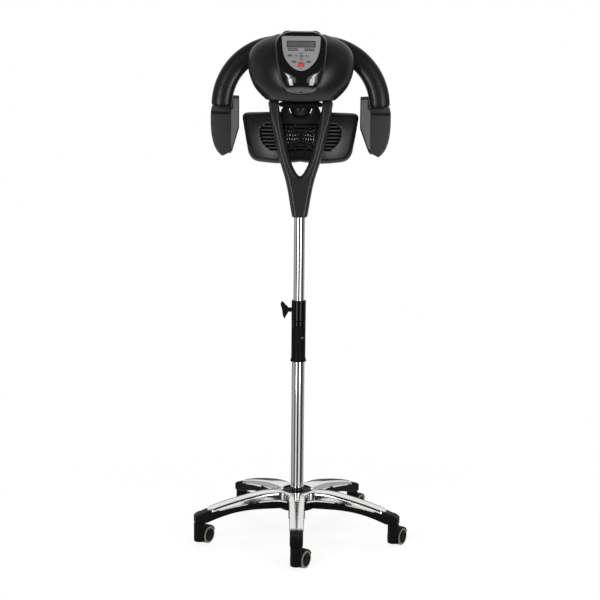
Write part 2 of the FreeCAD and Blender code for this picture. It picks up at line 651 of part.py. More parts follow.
# ------------------------------------------------------------------------ arms
def right_arm():
    """Quarter ring of oval section from its hinge knuckle down to the side heater."""
    oval = Part.Ellipse(Vector(ARM_ARC_X + ARM_ARC_RADIUS, ARM_Y, ARM_ARC_Z), ARM_HALF_WIDTH, ARM_HALF_DEPTH)
    section = Part.Face(Part.Wire(oval.toShape()))
    ring = section.revolve(Vector(ARM_ARC_X, ARM_Y, ARM_ARC_Z), Vector(0, -1, 0), 97)
    eye = rod(ARM_KNUCKLE_RADIUS, (ARM_PIVOT_X, ARM_Y - ARM_HALF_DEPTH, ARM_PIVOT_Z),
              (ARM_PIVOT_X, ARM_Y + ARM_HALF_DEPTH, ARM_PIVOT_Z))
    pivot = rod(POD_PIVOT_RADIUS, (POD_PIVOT_X, ARM_Y, 1228), (POD_PIVOT_X, ARM_Y, ARM_ARC_Z + 5))
    body = joined([ring, eye, pivot])
    return body.cut(arm_pin_rod(1, RUNNING_GAP))


# ---------------------------------------------------------------- side heaters
POD_SIDE = [(196, 1132), (208.5, 1125), (221.5, 1119), (234.5, 1131.5), (244.5, 1149), (253.5, 1186),
            (255.5, 1222), (254.5, 1260), (247.5, 1287), (237.5, POD_TOP_Z)]


def pod_block(inset):
    """Section of the side heater pushed along its length, with a rising floor and a sloping brow."""
    foot = [(POD_SIDE[0][0], POD_SIDE[0][1] + inset), (POD_SIDE[2][0], POD_SIDE[2][1] + inset)]
    bulge = [foot[1]] + [(x - inset, z) for x, z in POD_SIDE[3:-1]]
    bulge.append((POD_SIDE[-1][0] - inset, POD_TOP_Z - inset))
    inner_x = POD_INNER_X - 20 * (inset > 0)
    foot[0] = (inner_x, foot[0][1])
    body = slab("xz", [[foot[0], foot[1]], bulge, [bulge[-1], (inner_x, POD_TOP_Z - inset)],
                       [(inner_x, POD_TOP_Z - inset), foot[0]]], POD_NEAR_Y + inset, POD_FAR_Y - inset)
    seat_end = ARM_Y + 24
    near, far, seat = POD_NEAR_Y + inset, POD_FAR_Y - inset, POD_SEAT_Z - inset
    profile = [(near, POD_NEAR_FLOOR_Z + inset), (far, POD_FAR_FLOOR_Z + inset), (far, POD_TOP_Z),
               (seat_end + inset, POD_TOP_Z), (seat_end + inset, seat), (POD_BROW_Y, seat),
               (near, POD_BROW_Z - inset)]
    return body.common(slab("yz", polygon_runs(profile), 100, 300))


def pod_shell():
    body = pod_block(0).cut(pod_block(POD_WALL))
    boss = rod(12.5, (POD_PIVOT_X, ARM_Y, 1226), (POD_PIVOT_X, ARM_Y, POD_SEAT_Z))
    body = joined([body, boss])
    bore = POD_PIVOT_RADIUS + RUNNING_GAP
    return body.cut(rod(bore, (POD_PIVOT_X, ARM_Y, 1227), (POD_PIVOT_X, ARM_Y, 1300)))


def pod_guard():
    """Lamp shield over the heater's open inner side."""
    cavity = pod_block(POD_WALL)
    plate = cavity.common(box((POD_INNER_X + 1, POD_INNER_X + 4), (0, 400), (1000, 1400)))
    return plate.cut(rod(14, (POD_PIVOT_X, ARM_Y, 1200), (POD_PIVOT_X, ARM_Y, 1300)))


def pod_heater():
    """Bent reflector and two quartz lamps along the heater."""
    back = POD_INNER_X + 35
    parts = [box((back, back + 1.5), (92, 248), (1206, POD_TOP_Z - POD_WALL))]
    for z in (1226, 1260):
        parts.append(rod(5, (back - 16, 104, z), (back - 16, 236, z)))
        parts += [box((back - 22, back - 0.2), (y, y + 8), (z - 6, z + 6)) for y in (96, 236)]
    return parts


def toed_in(shape, angle):
    return turned(shape, angle, (POD_PIVOT_X, ARM_Y, 0))


# ----------------------------------------------------------------- nape heater
NAPE_FOOT = [(0, 1104), (30, 1100.5), (57, 1098.5), (90, 1100), (121, 1103)]
VENT_ROWS = [(1211, 100), (1201, 118), (1190.5, 117), (1180, 116.5), (1169.5, 114.5), (1159.5, 109.5),
             (1149.5, 102.5), (1139.5, 85)]


def nape_barrel(inset):
    """Barrel on an upright axis behind the box; its side is the bulged back."""
    back, low, high = NAPE_BACK_Y + inset, NAPE_CENTRE_Z - 90, NAPE_CENTRE_Z + 90
    axis_y = NAPE_BACK_Y + NAPE_BULGE_RADIUS
    edge_y = back + 90 ** 2 / (2 * NAPE_BELLY_RADIUS)
    arc = Part.Arc(Vector(0, edge_y, low), Vector(0, back, NAPE_CENTRE_Z), Vector(0, edge_y, high)).toShape()
    rim = Part.makePolygon([Vector(0, edge_y, high), Vector(0, axis_y, high), Vector(0, axis_y, low),
                            Vector(0, edge_y, low)])
    face = Part.Face(Part.Wire([arc] + rim.Edges))
    return face.revolve(Vector(0, axis_y, 0), Vector(0, 0, 1), 360)


def nape_block(inset):
    """Trapezoid box whose back bulges towards the fork."""
    foot = [(x, z + inset) for x, z in NAPE_FOOT]
    corner = [foot[-1], (136, 1108.5 + inset), (147 - inset, 1120.5 + inset), (152 - inset, 1133 + inset)]
    flank = [corner[-1], (168 - inset, 1224)]
    shoulder = [flank[-1], (168 - inset, 1235 - inset), (162 - inset, 1242.5 - inset), (151, 1245 - inset)]
    top = [shoulder[-1], (0, 1247 - inset)]
    runs = [foot, corner, flank, shoulder, top, flipped(top), flipped(shoulder), flipped(flank),
            flipped(corner), flipped(foot)]
    rim = NAPE_RIM_Y + 20 * (inset > 0)
    body = slab("xz", runs, NAPE_BACK_Y - 10, rim)
    return body.common(nape_barrel(inset))


def nape_collar():
    """Raised horseshoe round the knuckle, with an ear each side for the pin."""
    half = [(55, 1213), (57.5, 1250), (56, 1258), (50, 1263)]
    body = slab("xz", polygon_runs(half + flipped(half)), NAPE_BACK_Y - 3, 62)
    ears = rod(11, (-50, NAPE_PIVOT_Y, NAPE_PIVOT_Z), (50, NAPE_PIVOT_Y, NAPE_PIVOT_Z))
    body = joined([body, ears])
    gap = KNUCKLE_RADIUS + 2.5
    throat = rod(gap, (0, 0, NAPE_PIVOT_Z), (0, 90, NAPE_PIVOT_Z))
    return body.cut(throat).cut(box((-gap, gap), (0, 90), (NAPE_PIVOT_Z, 1300)))


def nape_shell():
    """Back of the nape heater with rows of vent slots and the hinge collar."""
    shell = nape_block(0).cut(nape_block(HEAD_WALL))
    shell = joined([shell, nape_collar().cut(nape_block(HEAD_WALL))])
    throat = rod(KNUCKLE_RADIUS + 2.5, (0, 0, NAPE_PIVOT_Z), (0, 90, NAPE_PIVOT_Z))
    shell = shell.cut(throat)
    for z, half in VENT_ROWS:
        for low, high in ((-half, -44), (-40, 40), (44, half)):
            shell = shell.cut(box((low, high), (0, 66), (z - VENT_HEIGHT / 2, z + VENT_HEIGHT / 2)))
    return shell.cut(rod(4, (-46, NAPE_PIVOT_Y, NAPE_PIVOT_Z), (46, NAPE_PIVOT_Y, NAPE_PIVOT_Z)))


def nape_guard():
    """Slotted plate on the side of the nape heater that faces the hair."""
    cavity = nape_block(HEAD_WALL + 0.2)
    plate = cavity.common(box((-200, 200), (NAPE_RIM_Y - 4, NAPE_RIM_Y - 1), (1000, 1400)))
    for step in range(9):
        z = 1120 + 12.5 * step
        plate = plate.cut(box((-128, -3), (90, 110), (z, z + 7)))
        plate = plate.cut(box((3, 128), (90, 110), (z, z + 7)))
    return plate


def nape_reflector():
    cavity = nape_block(HEAD_WALL + 0.2)
    return cavity.common(box((-200, 200), (70, 71.2), (1112, 1222)))


def nape_lamps():
    lamps = []
    for z in (1146, 1196):
        lamps.append(rod(5, (-104, 85, z), (104, 85, z)))
        lamps += [box((x, x + 8), (71.4, 92), (z - 6, z + 6)) for x in (-112, 104)]
    return lamps


def fan_rod(radius, near, far):
    return rod(radius, (0, near, NAPE_CENTRE_Z), (0, far, NAPE_CENTRE_Z))


def fan_frame():
    body = box((-FAN_HALF, FAN_HALF), (44, 66), (NAPE_CENTRE_Z - FAN_HALF, NAPE_CENTRE_Z + FAN_HALF))
    body = body.cut(fan_rod(37.5, 40, 70))
    struts = [turned(box((-38.5, 38.5), (62, 65), (NAPE_CENTRE_Z - 2.5, NAPE_CENTRE_Z + 2.5)), angle,
                     (0, 0, NAPE_CENTRE_Z), (0, 1, 0)) for angle in (30, 90, 150)]
    body = joined([body, fan_rod(14, 62, 65)] + struts)
    pin = fan_rod(1.6, 50, 63)
    return joined([body, pin])


def fan_impeller():
    hub = fan_rod(13, 46, 61).cut(fan_rod(1.6 + RUNNING_GAP, 48, 70))
    blades = []
    for k in range(7):
        blade = box((10, 35.5), (52.4, 54), (NAPE_CENTRE_Z - 8, NAPE_CENTRE_Z + 8))
        blade = turned(blade, 32, (20, 53, NAPE_CENTRE_Z), (1, 0, 0))
        blades.append(turned(blade, 360.0 / 7 * k, (0, 0, NAPE_CENTRE_Z), (0, 1, 0)))
    body = joined([hub] + blades)
    return body.cut(fan_rod(1.6 + RUNNING_GAP, 48, 70)).common(fan_rod(36.6, 45, 61.5))


def fan_guard():
    """Chrome finger guard: rings joined by four radial wires."""
    rings = [Part.makeTorus(radius, 1.1, Vector(0, 41.6, NAPE_CENTRE_Z), Vector(0, 1, 0))
             for radius in (10, 17, 24, 31, 38)]
    wires = [turned(rod(1.1, (8, 42.9, NAPE_CENTRE_Z), (44, 42.9, NAPE_CENTRE_Z)), angle,
                    (0, 0, NAPE_CENTRE_Z), (0, 1, 0)) for angle in (45, 135, 225, 315)]
    return joined(rings + wires)


# ---------------------------------------------------------------------- export
def export_base():
    export("base_spider", base_spider())
    export("chrome_star_cover", star_cover())
    export("hub_cap", hub_cap())
    export("caster_stems", *[turned(moved(caster_stem(), CASTER_RADIUS, 0, 0), a) for a in leg_angles()])
    for number, angle in enumerate(leg_angles(), start=1):
        export("caster_%d_housing" % number, at_caster(caster_housing(), angle))
        export("caster_%d_wheels" % number, *[at_caster(piece, angle) for piece in caster_wheels()])


def export_column():
    export("lower_tube", column())
    export("clamp_sleeve", clamp_sleeve())
    export("clamp_collar", clamp_collar())
    export("slide_bush", slide_bush())
    export("sleeve_screws", *[turned(side_screw(), angle) for angle in SCREW_ANGLES])
    export("wing_screw", wing_screw())
    export("upper_tube", pipe(MAST_RADIUS, MAST_RADIUS - TUBE_WALL, (0, 0, MAST_BOTTOM), (0, 0, MAST_TOP)))


def export_fork():
    export("yoke", fork())
    export("mains_inlet", mains_gland())
    export("pivot_bolts", *tilt_bolts())


def export_head():
    export("head_chassis", head_chassis())
    export("dome_cover", dome_cover())
    export("centre_fairing", centre_fairing())
    export("panel_plate", panel_plate())
    export("lcd_window", lcd_window())
    export("control_board", control_board())
    for key in KEYS:
        export(key[0], key_cap(key))
    export("arm_hinge_pins", arm_pin_rod(-1, 0), arm_pin_rod(1, 0))
    export("crown_canopy", crown_canopy())
    export("crown_reflector", crown_reflector())
    export("crown_lamps", *crown_lamps())
    export("crown_guard", crown_guard())


def export_arms():
    arm = right_arm()
    export("arm_right", arm)
    export("arm_left", left_of(arm))
    shell, guard, heater = pod_shell(), pod_guard(), pod_heater()
    export("right_shell", toed_in(shell, RIGHT_TOE_IN))
    export("left_shell", left_of(toed_in(shell, LEFT_TOE_IN)))
    export("right_guard", toed_in(guard, RIGHT_TOE_IN))
    export("left_guard", left_of(toed_in(guard, LEFT_TOE_IN)))
    export("right_heater", *[toed_in(piece, RIGHT_TOE_IN) for piece in heater])
    export("left_heater", *[left_of(toed_in(piece, LEFT_TOE_IN)) for piece in heater])


def export_nape():
    export("nape_shell", nape_shell())
    export("nape_guard", nape_guard())
    export("nape_reflector", nape_reflector())
    export("nape_lamps", *nape_lamps())
    export("nape_hinge_pin", nape_pin_rod(0))
    export("nape_fan_frame", fan_frame())
    export("nape_fan_impeller", fan_impeller())
    export("nape_fan_guard", fan_guard())


os.makedirs(PARTS_FOLDER, exist_ok=True)
export_base()
export_column()
export_fork()
export_head()
export_arms()
export_nape()
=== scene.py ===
"""Dressed model of a hair colour processor on a five-leg rolling stand.

Lengths are millimetres in the frame of the solids: +Z up from the floor, the column on
X = Y = 0, -Y towards the operator at the control panel, +Y towards the chair.
"""
import json
from math import cos, pi, radians, sin, tan

import bmesh
import bpy
import numpy as np
from mathutils import Matrix, Vector


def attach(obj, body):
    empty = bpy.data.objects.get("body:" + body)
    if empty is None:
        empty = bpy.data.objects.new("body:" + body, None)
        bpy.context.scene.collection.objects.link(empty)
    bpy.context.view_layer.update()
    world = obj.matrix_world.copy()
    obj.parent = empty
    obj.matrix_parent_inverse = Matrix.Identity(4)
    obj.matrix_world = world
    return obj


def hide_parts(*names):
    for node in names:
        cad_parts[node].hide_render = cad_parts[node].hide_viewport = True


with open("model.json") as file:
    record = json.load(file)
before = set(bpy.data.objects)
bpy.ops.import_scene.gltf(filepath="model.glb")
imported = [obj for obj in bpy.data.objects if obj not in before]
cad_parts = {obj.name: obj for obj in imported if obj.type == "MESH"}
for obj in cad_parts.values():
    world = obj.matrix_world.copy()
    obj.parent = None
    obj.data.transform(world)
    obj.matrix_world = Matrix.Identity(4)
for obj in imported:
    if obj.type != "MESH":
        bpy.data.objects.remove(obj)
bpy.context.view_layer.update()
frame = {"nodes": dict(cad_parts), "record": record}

MM = 0.001
WELD = 2e-6
SHARP_EDGE = 38.0
POLE = 0.01  # radius at which a turned shape closes on its axis
X_AXIS, Y_AXIS, Z_AXIS = (1, 0, 0), (0, 1, 0), (0, 0, 1)


# ------------------------------------------------------------------ curves and grids
def smooth_line(points, count):
    """Natural cubic through the points, read at equal steps of chord length."""
    p = np.asarray(points, float)
    t = np.r_[0, np.cumsum(np.linalg.norm(np.diff(p, axis=0), axis=1))]
    h = np.diff(t)
    inner = np.arange(1, len(p) - 1)
    bend = np.eye(len(p))
    bend[inner, inner - 1], bend[inner, inner + 1] = h[:-1], h[1:]
    bend[inner, inner] = 2 * (h[:-1] + h[1:])
    slope = np.diff(p, axis=0) / h[:, None]
    pull = np.zeros_like(p)
    pull[inner] = 6 * np.diff(slope, axis=0)
    m = np.linalg.solve(bend, pull)
    s = np.linspace(0, t[-1], count)
    k = np.clip(np.searchsorted(t, s, side="right") - 1, 0, len(h) - 1)
    a, b, w = (t[k + 1] - s)[:, None], (s - t[k])[:, None], h[k][:, None]
    return ((m[k] * a ** 3 + m[k + 1] * b ** 3) / (6 * w) + (p[k] / w - m[k] * w / 6) * a
            + (p[k + 1] / w - m[k + 1] * w / 6) * b)


def along_runs(points, x):
    """Second coordinate of the straight runs through the points where their first is x."""
    return np.interp(x, *np.transpose(points))


def height_on(points, x):
    """Second coordinate of the smooth line where its first is x."""
    line = smooth_line(points, 240)
    return along_runs(line[np.argsort(line[:, 0], kind="stable")], x)


def distance_to(line, x, z):
    """Shortest distance from each (x, z) to a chain of straight runs."""
    line = np.asarray(line, float)
    a, run = line[:-1], np.diff(line, axis=0)
    p = np.stack([x, z], -1)[..., None, :]
    t = np.clip(((p - a) * run).sum(-1) / np.maximum((run ** 2).sum(-1), 1e-9), 0, 1)
    return np.linalg.norm(p - (a + t[..., None] * run), axis=-1).min(-1)


def quarter_round(d, radius):
    """Fall of a surface rounded off over the last radius millimetres before its edge."""
    d = np.clip(d, 0, radius)
    return radius - np.sqrt(np.maximum(radius ** 2 - (radius - d) ** 2, 0))


def soft_max(a, b, reach):
    """The larger of two values, rounded over reach where they cross."""
    return 0.5 * (a + b + np.sqrt((a - b) ** 2 + reach ** 2))


def to_edges(count):
    """Steps from -1 to 1 that crowd towards both ends."""
    return np.sin(np.linspace(-1, 1, count) * pi / 2)


def stack(*coordinates):
    """Points from their x, y and z, stretched to one shape."""
    return np.stack(np.broadcast_arrays(*(np.asarray(c, float) for c in coordinates)), -1)


def full_turn(count):
    return np.linspace(0, 2 * pi, count, endpoint=False)


def oval(half_a, half_b, power, count):
    """Superellipse |a|^power + |b|^power = 1, as count pairs."""
    c, s = np.cos(full_turn(count)), np.sin(full_turn(count))
    return np.stack([half_a * np.sign(c) * np.abs(c) ** (2 / power),
                     half_b * np.sign(s) * np.abs(s) ** (2 / power)], -1)


def lathe(profile, steps, origin=(0, 0, 0), axis=Z_AXIS):
    """Profile of (distance along the axis, radius) turned round the axis."""
    axis = np.asarray(axis, float)
    side = np.cross(axis, Z_AXIS if abs(axis[2]) < 0.9 else X_AXIS)
    side /= np.linalg.norm(side)
    up = np.cross(axis, side)
    along, radius = np.asarray(profile, float).T[:, :, None, None]
    turn = full_turn(steps)[:, None]
    ring = np.cos(turn) * side + np.sin(turn) * up
    return np.asarray(origin, float) + along * axis + radius * ring, True


def lathe_pair(profile, steps, origin, axis, sides=(-1, 1)):
    """The same turned shape to either side of the origin."""
    return [lathe([(along * side, radius) for along, radius in profile], steps, origin, axis)
            for side in sides]


def facing(layers, x=0.0, z=0.0):
    """Grid of outlines that face -Y, from (outline, y) pairs, moved across by x and up by z."""
    return np.stack([stack(x + outline[:, 0], y, z + outline[:, 1]) for outline, y in layers])


def closed_ends(points):
    """Grid of rings with both end rings drawn in to their own middles."""
    first, last = points[:1].mean(1, keepdims=True), points[-1:].mean(1, keepdims=True)
    return np.concatenate([np.broadcast_to(first, points[:1].shape), points,
                           np.broadcast_to(last, points[-1:].shape)])


def three_sides(points):
    """Edge of a grid down its first column, along its last row and up its last column."""
    return np.concatenate([points[:, 0], points[-1, 1:-1], points[:, -1][::-1]])


def drawn(rim, axis, goal, rows):
    """Strip from a rim to the same points moved along one axis to goal."""
    strip = np.repeat(rim[None], rows, axis=0)
    strip[..., axis] += (goal - rim[:, axis]) * np.linspace(0, 1, rows)[:, None]
    return strip


def spun(points, degrees, centre=(0, 0)):
    """Points turned about an upright axis through centre."""
    c, s = cos(radians(degrees)), sin(radians(degrees))
    x, y = points[..., 0] - centre[0], points[..., 1] - centre[1]
    return stack(centre[0] + c * x - s * y, centre[1] + s * x + c * y, points[..., 2])


# -------------------------------------------------------------------------- pieces
def faces_of(rows, columns, wrap, keep):
    """Corner numbers of each cell of a grid, without the cells that keep leaves out."""
    r = np.arange(rows - 1)[:, None]
    c = np.arange(columns if wrap else columns - 1)[None, :]
    n = (c + 1) % columns
    cells = np.stack(np.broadcast_arrays(r * columns + c, r * columns + n,
                                         (r + 1) * columns + n, (r + 1) * columns + c), -1)
    return cells.reshape(-1, 4) if keep is None else cells[keep]


def piece(name, body, slot, grids, replaces=(), finish=None, wall=0.0, bevel=0.0, outward=None,
          sharp=SHARP_EDGE):
    """Weld grids of millimetre points into one closed or shell-like piece.

    Each grid is (points, wrap) or (points, wrap, kept cells).  The finish is the slot's own
    unless another is named.  wall is the thickness that a shell gains inwards, bevel the
    width of its rounded edges, and outward a point that the faces look away from where the
    piece is an open shell.
    """
    verts, faces, start = [], [], 0
    for points, wrap, *kept in grids:
        rows, columns = points.shape[:2]
        verts.append(points.reshape(-1, 3) * MM)
        faces.append(faces_of(rows, columns, wrap, kept[0] if kept else None) + start)
        start += rows * columns
    mesh = bpy.data.meshes.new(name)
    mesh.from_pydata(np.concatenate(verts).tolist(), [], np.concatenate(faces).tolist())
    shape = bmesh.new()
    shape.from_mesh(mesh)
    bmesh.ops.remove_doubles(shape, verts=shape.verts, dist=WELD)
    bmesh.ops.dissolve_degenerate(shape, edges=shape.edges, dist=WELD)
    loose = [v for v in shape.verts if not v.link_faces]
    bmesh.ops.delete(shape, geom=loose, context="VERTS")
    bmesh.ops.recalc_face_normals(shape, faces=shape.faces)
    if outward is not None:
        heart = Vector(outward) * MM
        away = sum((f.calc_center_median() - heart).dot(f.normal) * f.calc_area()
                   for f in shape.faces)
        if away < 0:
            bmesh.ops.reverse_faces(shape, faces=shape.faces)
    shape.to_mesh(mesh)
    shape.free()
    mesh.polygons.foreach_set("use_smooth", np.ones(len(mesh.polygons), bool))
    mesh.set_sharp_from_angle(angle=radians(sharp))
    mesh.materials.append(FINISH[finish or slot])
    made = bpy.data.objects.new(name, mesh)
    bpy.context.collection.objects.link(made)
    if wall:
        thick = made.modifiers.new("wall", "SOLIDIFY")
        thick.thickness, thick.offset, thick.use_even_offset = wall * MM, -1, False
    if bevel:
        edge = made.modifiers.new("edge", "BEVEL")
        edge.width, edge.segments, edge.limit_method = bevel * MM, 2, "ANGLE"
        edge.angle_limit, edge.harden_normals = radians(sharp), True
    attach(made, body)
    if replaces:
        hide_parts(*replaces)


# ----------------------------------------------------------------------- materials
class Graph:
    """Short way to build the node tree of a material or a world.

    Sockets are given by name or number, each with a constant or the output that feeds it.
    """

    def __init__(self, owner, bare=False):
        owner.use_nodes = True
        self.owner, self.tree = owner, owner.node_tree
        if bare:
            self.tree.nodes.clear()
        self.place = self.add("ShaderNodeTexCoord")

    def feed(self, node, sockets):
        for key, value in dict(sockets).items():
            if isinstance(value, bpy.types.NodeSocket):
                self.tree.links.new(value, node.inputs[key])
            else:
                node.inputs[key].default_value = value
        return node.outputs

    def add(self, kind, sockets=(), **settings):
        node = self.tree.nodes.new(kind)
        for key, value in settings.items():
            setattr(node, key, value)
        return self.feed(node, sockets)

    def noise(self, scale, detail=3.0, stretch=(1, 1, 1)):
        """Noise in the object's own space, pulled out along an axis by stretch."""
        mapped = self.add("ShaderNodeMapping", {"Vector": self.place["Object"], "Scale": stretch})
        return self.add("ShaderNodeTexNoise", {"Vector": mapped["Vector"], "Scale": scale,
                                               "Detail": detail})["Fac"]

    def spread(self, source, low, high, start=0.3, end=0.7):
        """Value that runs from low to high while the source runs from start to end."""
        return self.add("ShaderNodeMapRange", {"Value": source, "From Min": start, "From Max": end,
                                               "To Min": low, "To Max": high})["Result"]

    def ramp(self, source, stops):
        """Colours along a value, from (place, colour) pairs."""
        node = self.tree.nodes.new("ShaderNodeValToRGB")
        points = node.color_ramp.elements
        for point, (place, colour) in zip(points, (stops[0], stops[-1])):
            point.position, point.color = place, (*colour, 1)
        for place, colour in stops[1:-1]:
            points.new(place).color = (*colour, 1)
        return self.feed(node, {"Fac": source})["Color"]

    def drift(self, source, colour, lift, start=0.3, end=0.7):
        """Colour that drifts from its own tone to one lift times as light."""
        lifted = tuple(min(1, c * lift) for c in colour)
        return self.ramp(source, [(start, colour), (end, lifted)])

    def relief(self, source, height, strength):
        return self.add("ShaderNodeBump", {"Height": source, "Strength": strength,
                                           "Distance": height})["Normal"]

    def surface(self, sockets):
        """The finished material, with its shader fed."""
        self.feed(self.tree.nodes["Principled BSDF"], sockets)
        return self.owner


def moulded(name, colour, rough, lift=1.25, grain=0.00006, grain_scale=1400, shine=0.5, coat=0.0,
            smudge=0.06, metallic=0.0):
    """Moulded plastic: fine grain in relief, slow drift of tone, and patches of handling wear."""
    g = Graph(bpy.data.materials.new(name))
    return g.surface({
        "Base Color": g.drift(g.noise(9.0, 4.0), colour, lift),
        "Roughness": g.spread(g.noise(26.0, 5.0), rough - smudge, rough + smudge),
        "Normal": g.relief(g.noise(grain_scale, 2.0), grain, 0.6),
        "Specular IOR Level": shine, "Metallic": metallic,
        "Coat Weight": coat, "Coat Roughness": 0.06})


def plated(name, colour, rough, stretch=(1, 1, 1)):
    """Bright plating: tint that drifts, faint polishing streaks and a slow ripple in relief."""
    g = Graph(bpy.data.materials.new(name))
    return g.surface({
        "Base Color": g.drift(g.noise(14.0), colour, 1.05),
        "Roughness": g.spread(g.noise(160.0, 4.0, stretch), rough * 0.6, rough * 1.5),
        "Normal": g.relief(g.noise(30.0, 2.0, stretch), 0.00003, 0.35),
        "Metallic": 1.0})


def rubbery(name, colour, dust):
    """Soft tread: dusty patches over a dull compound with a fine stipple."""
    g = Graph(bpy.data.materials.new(name))
    return g.surface({
        "Base Color": g.ramp(g.noise(38.0, 6.0), [(0.35, colour), (0.75, dust)]),
        "Roughness": g.spread(g.noise(60.0, 4.0), 0.5, 0.75),
        "Normal": g.relief(g.noise(900.0), 0.0001, 0.7)})


def glassy(name, colour, glow, rough=0.08):
    """Tinted window or tube with a faint inner light and fingerprints in its gloss."""
    g = Graph(bpy.data.materials.new(name))
    return g.surface({
        "Base Color": g.drift(g.noise(22.0), colour, 1.3),
        "Roughness": g.spread(g.noise(45.0, 5.0), rough, rough + 0.12),
        "Coat Weight": 0.6, "Coat Roughness": 0.05,
        "Emission Color": (*colour, 1), "Emission Strength": glow})


FINISH = {
    "satin_black": moulded("satin black shell", (0.007, 0.007, 0.0073), 0.26, grain=0.00002,
                           smudge=0.012, shine=0.42),
    "fork_black": moulded("fork paint", (0.011, 0.011, 0.0115), 0.30, grain=0.00002, smudge=0.015),
    "gloss_black": moulded("gloss black cover", (0.0035, 0.0035, 0.0038), 0.07, grain=0.00001,
                           coat=1.0, smudge=0.02, shine=0.9),
    "collar_black": moulded("collar black", (0.002, 0.002, 0.0024), 0.13, grain=0.00001,
                            smudge=0.02, shine=0.22),
    "matte_black": moulded("matt black plastic", (0.002, 0.002, 0.0022), 0.5, grain=0.0001,
                           smudge=0.08, shine=0.12),
    "black_nylon": moulded("black nylon", (0.002, 0.002, 0.0022), 0.46, grain=0.00012,
                           grain_scale=900, smudge=0.08, shine=0.12),
    "soot": moulded("soot black", (0.002, 0.002, 0.002), 0.7, grain=0.00008, shine=0.1),
    "chrome": plated("bright chrome", (0.86, 0.86, 0.85), 0.13),
    "tube_chrome": plated("chromed tube", (0.78, 0.78, 0.765), 0.09, (1, 1, 0.04)),
    "steel": plated("plated steel", (0.56, 0.56, 0.55), 0.24),
    "reflector": plated("polished reflector", (0.82, 0.82, 0.80), 0.16, (0.1, 1, 1)),
    "wheel_tread": rubbery("caster tread", (0.13, 0.125, 0.085), (0.21, 0.20, 0.15)),
    "panel_silver": moulded("silver fascia", (0.24, 0.245, 0.25), 0.36, lift=1.1, grain=0.00003,
                            metallic=0.3),
    "screen": glassy("display window", (0.053, 0.056, 0.053), 0.15),
    "circuit_green": moulded("circuit board", (0.01, 0.09, 0.035), 0.42),
    "key_grey": moulded("silver key", (0.255, 0.26, 0.265), 0.38, lift=1.06, metallic=0.3),
    "key_red": moulded("red key", (0.40, 0.04, 0.035), 0.38, lift=1.1),
    "quartz": glassy("quartz lamp", (0.62, 0.55, 0.47), 0.05, rough=0.12),
    "guard_grey": moulded("grey guard", (0.042, 0.043, 0.045), 0.46, grain=0.0001, smudge=0.02),
}


# ------------------------------------------------------------------- star base cover
LEG_ANGLES = [-90.0 + 72.0 * k for k in range(5)]
LEG_RIDGE = [(40, 141.5), (90, 144), (145, 137), (205, 124.5), (262, 108.8), (290, 99)]
LEG_ARCH = [(30, 90), (87, 92.5), (148, 93.5), (209, 86.2), (262, 71), (276, 66)]
LEG_TOP = [(30, 112), (200, 112), (240, 109), (258, 104.5), (276, 101.6), (296, 95.5), (308, 89),
           (311, 87)]
LEG_SIDES = [(30, 20.6), (290, 18.6)]
COVER_HEM = [(40, 112), (88, 116), (160, 112), (210, 106), (240, 101)]
HEM_RISE = [(240, 101), (247, 105.5), (290, 94)]
HUB_HOLE, HUB_EDGE, HUB_BLEND = 46.6, 50.0, 30.0
VALLEY = (45.9, 33.4)
FILLET_X, FILLET_Y, FILLET_R = 65.4, 47.5, 24.0
LEG_WIDE, LEG_NARROW, LEG_END = 23.5, 20.4, 262.0
TONGUE, TONGUE_START = 14.0, 236.0
CROWN, SHOULDER, LEAST_HEM, COVER_GAP = 2.2, 7.0, 1.5, 3.0
LEG_TIP, TIP_CORNER = 311.0, 8.0
CLIP_FOOT, CLIP_FACE, CLIP_RISE, CLIP_BACK = 98.0, 20.0, 3.4, 18.5


def leg_half_width(x):
    """Half-width of the cover: straight taper, and a hollow arc between two legs."""
    taper = LEG_WIDE + (LEG_NARROW - LEG_WIDE) * (x - FILLET_X) / (LEG_END - FILLET_X)
    hollow = FILLET_Y - np.sqrt(np.maximum(FILLET_R ** 2 - (x - FILLET_X) ** 2, 0))
    return np.where(x < FILLET_X, hollow, taper)


def hem_height(x):
    """Lower edge of the cover: smooth under the leg, then a straight rise to its end."""
    return np.where(x < HEM_RISE[0][0], height_on(COVER_HEM, x), along_runs(HEM_RISE, x))


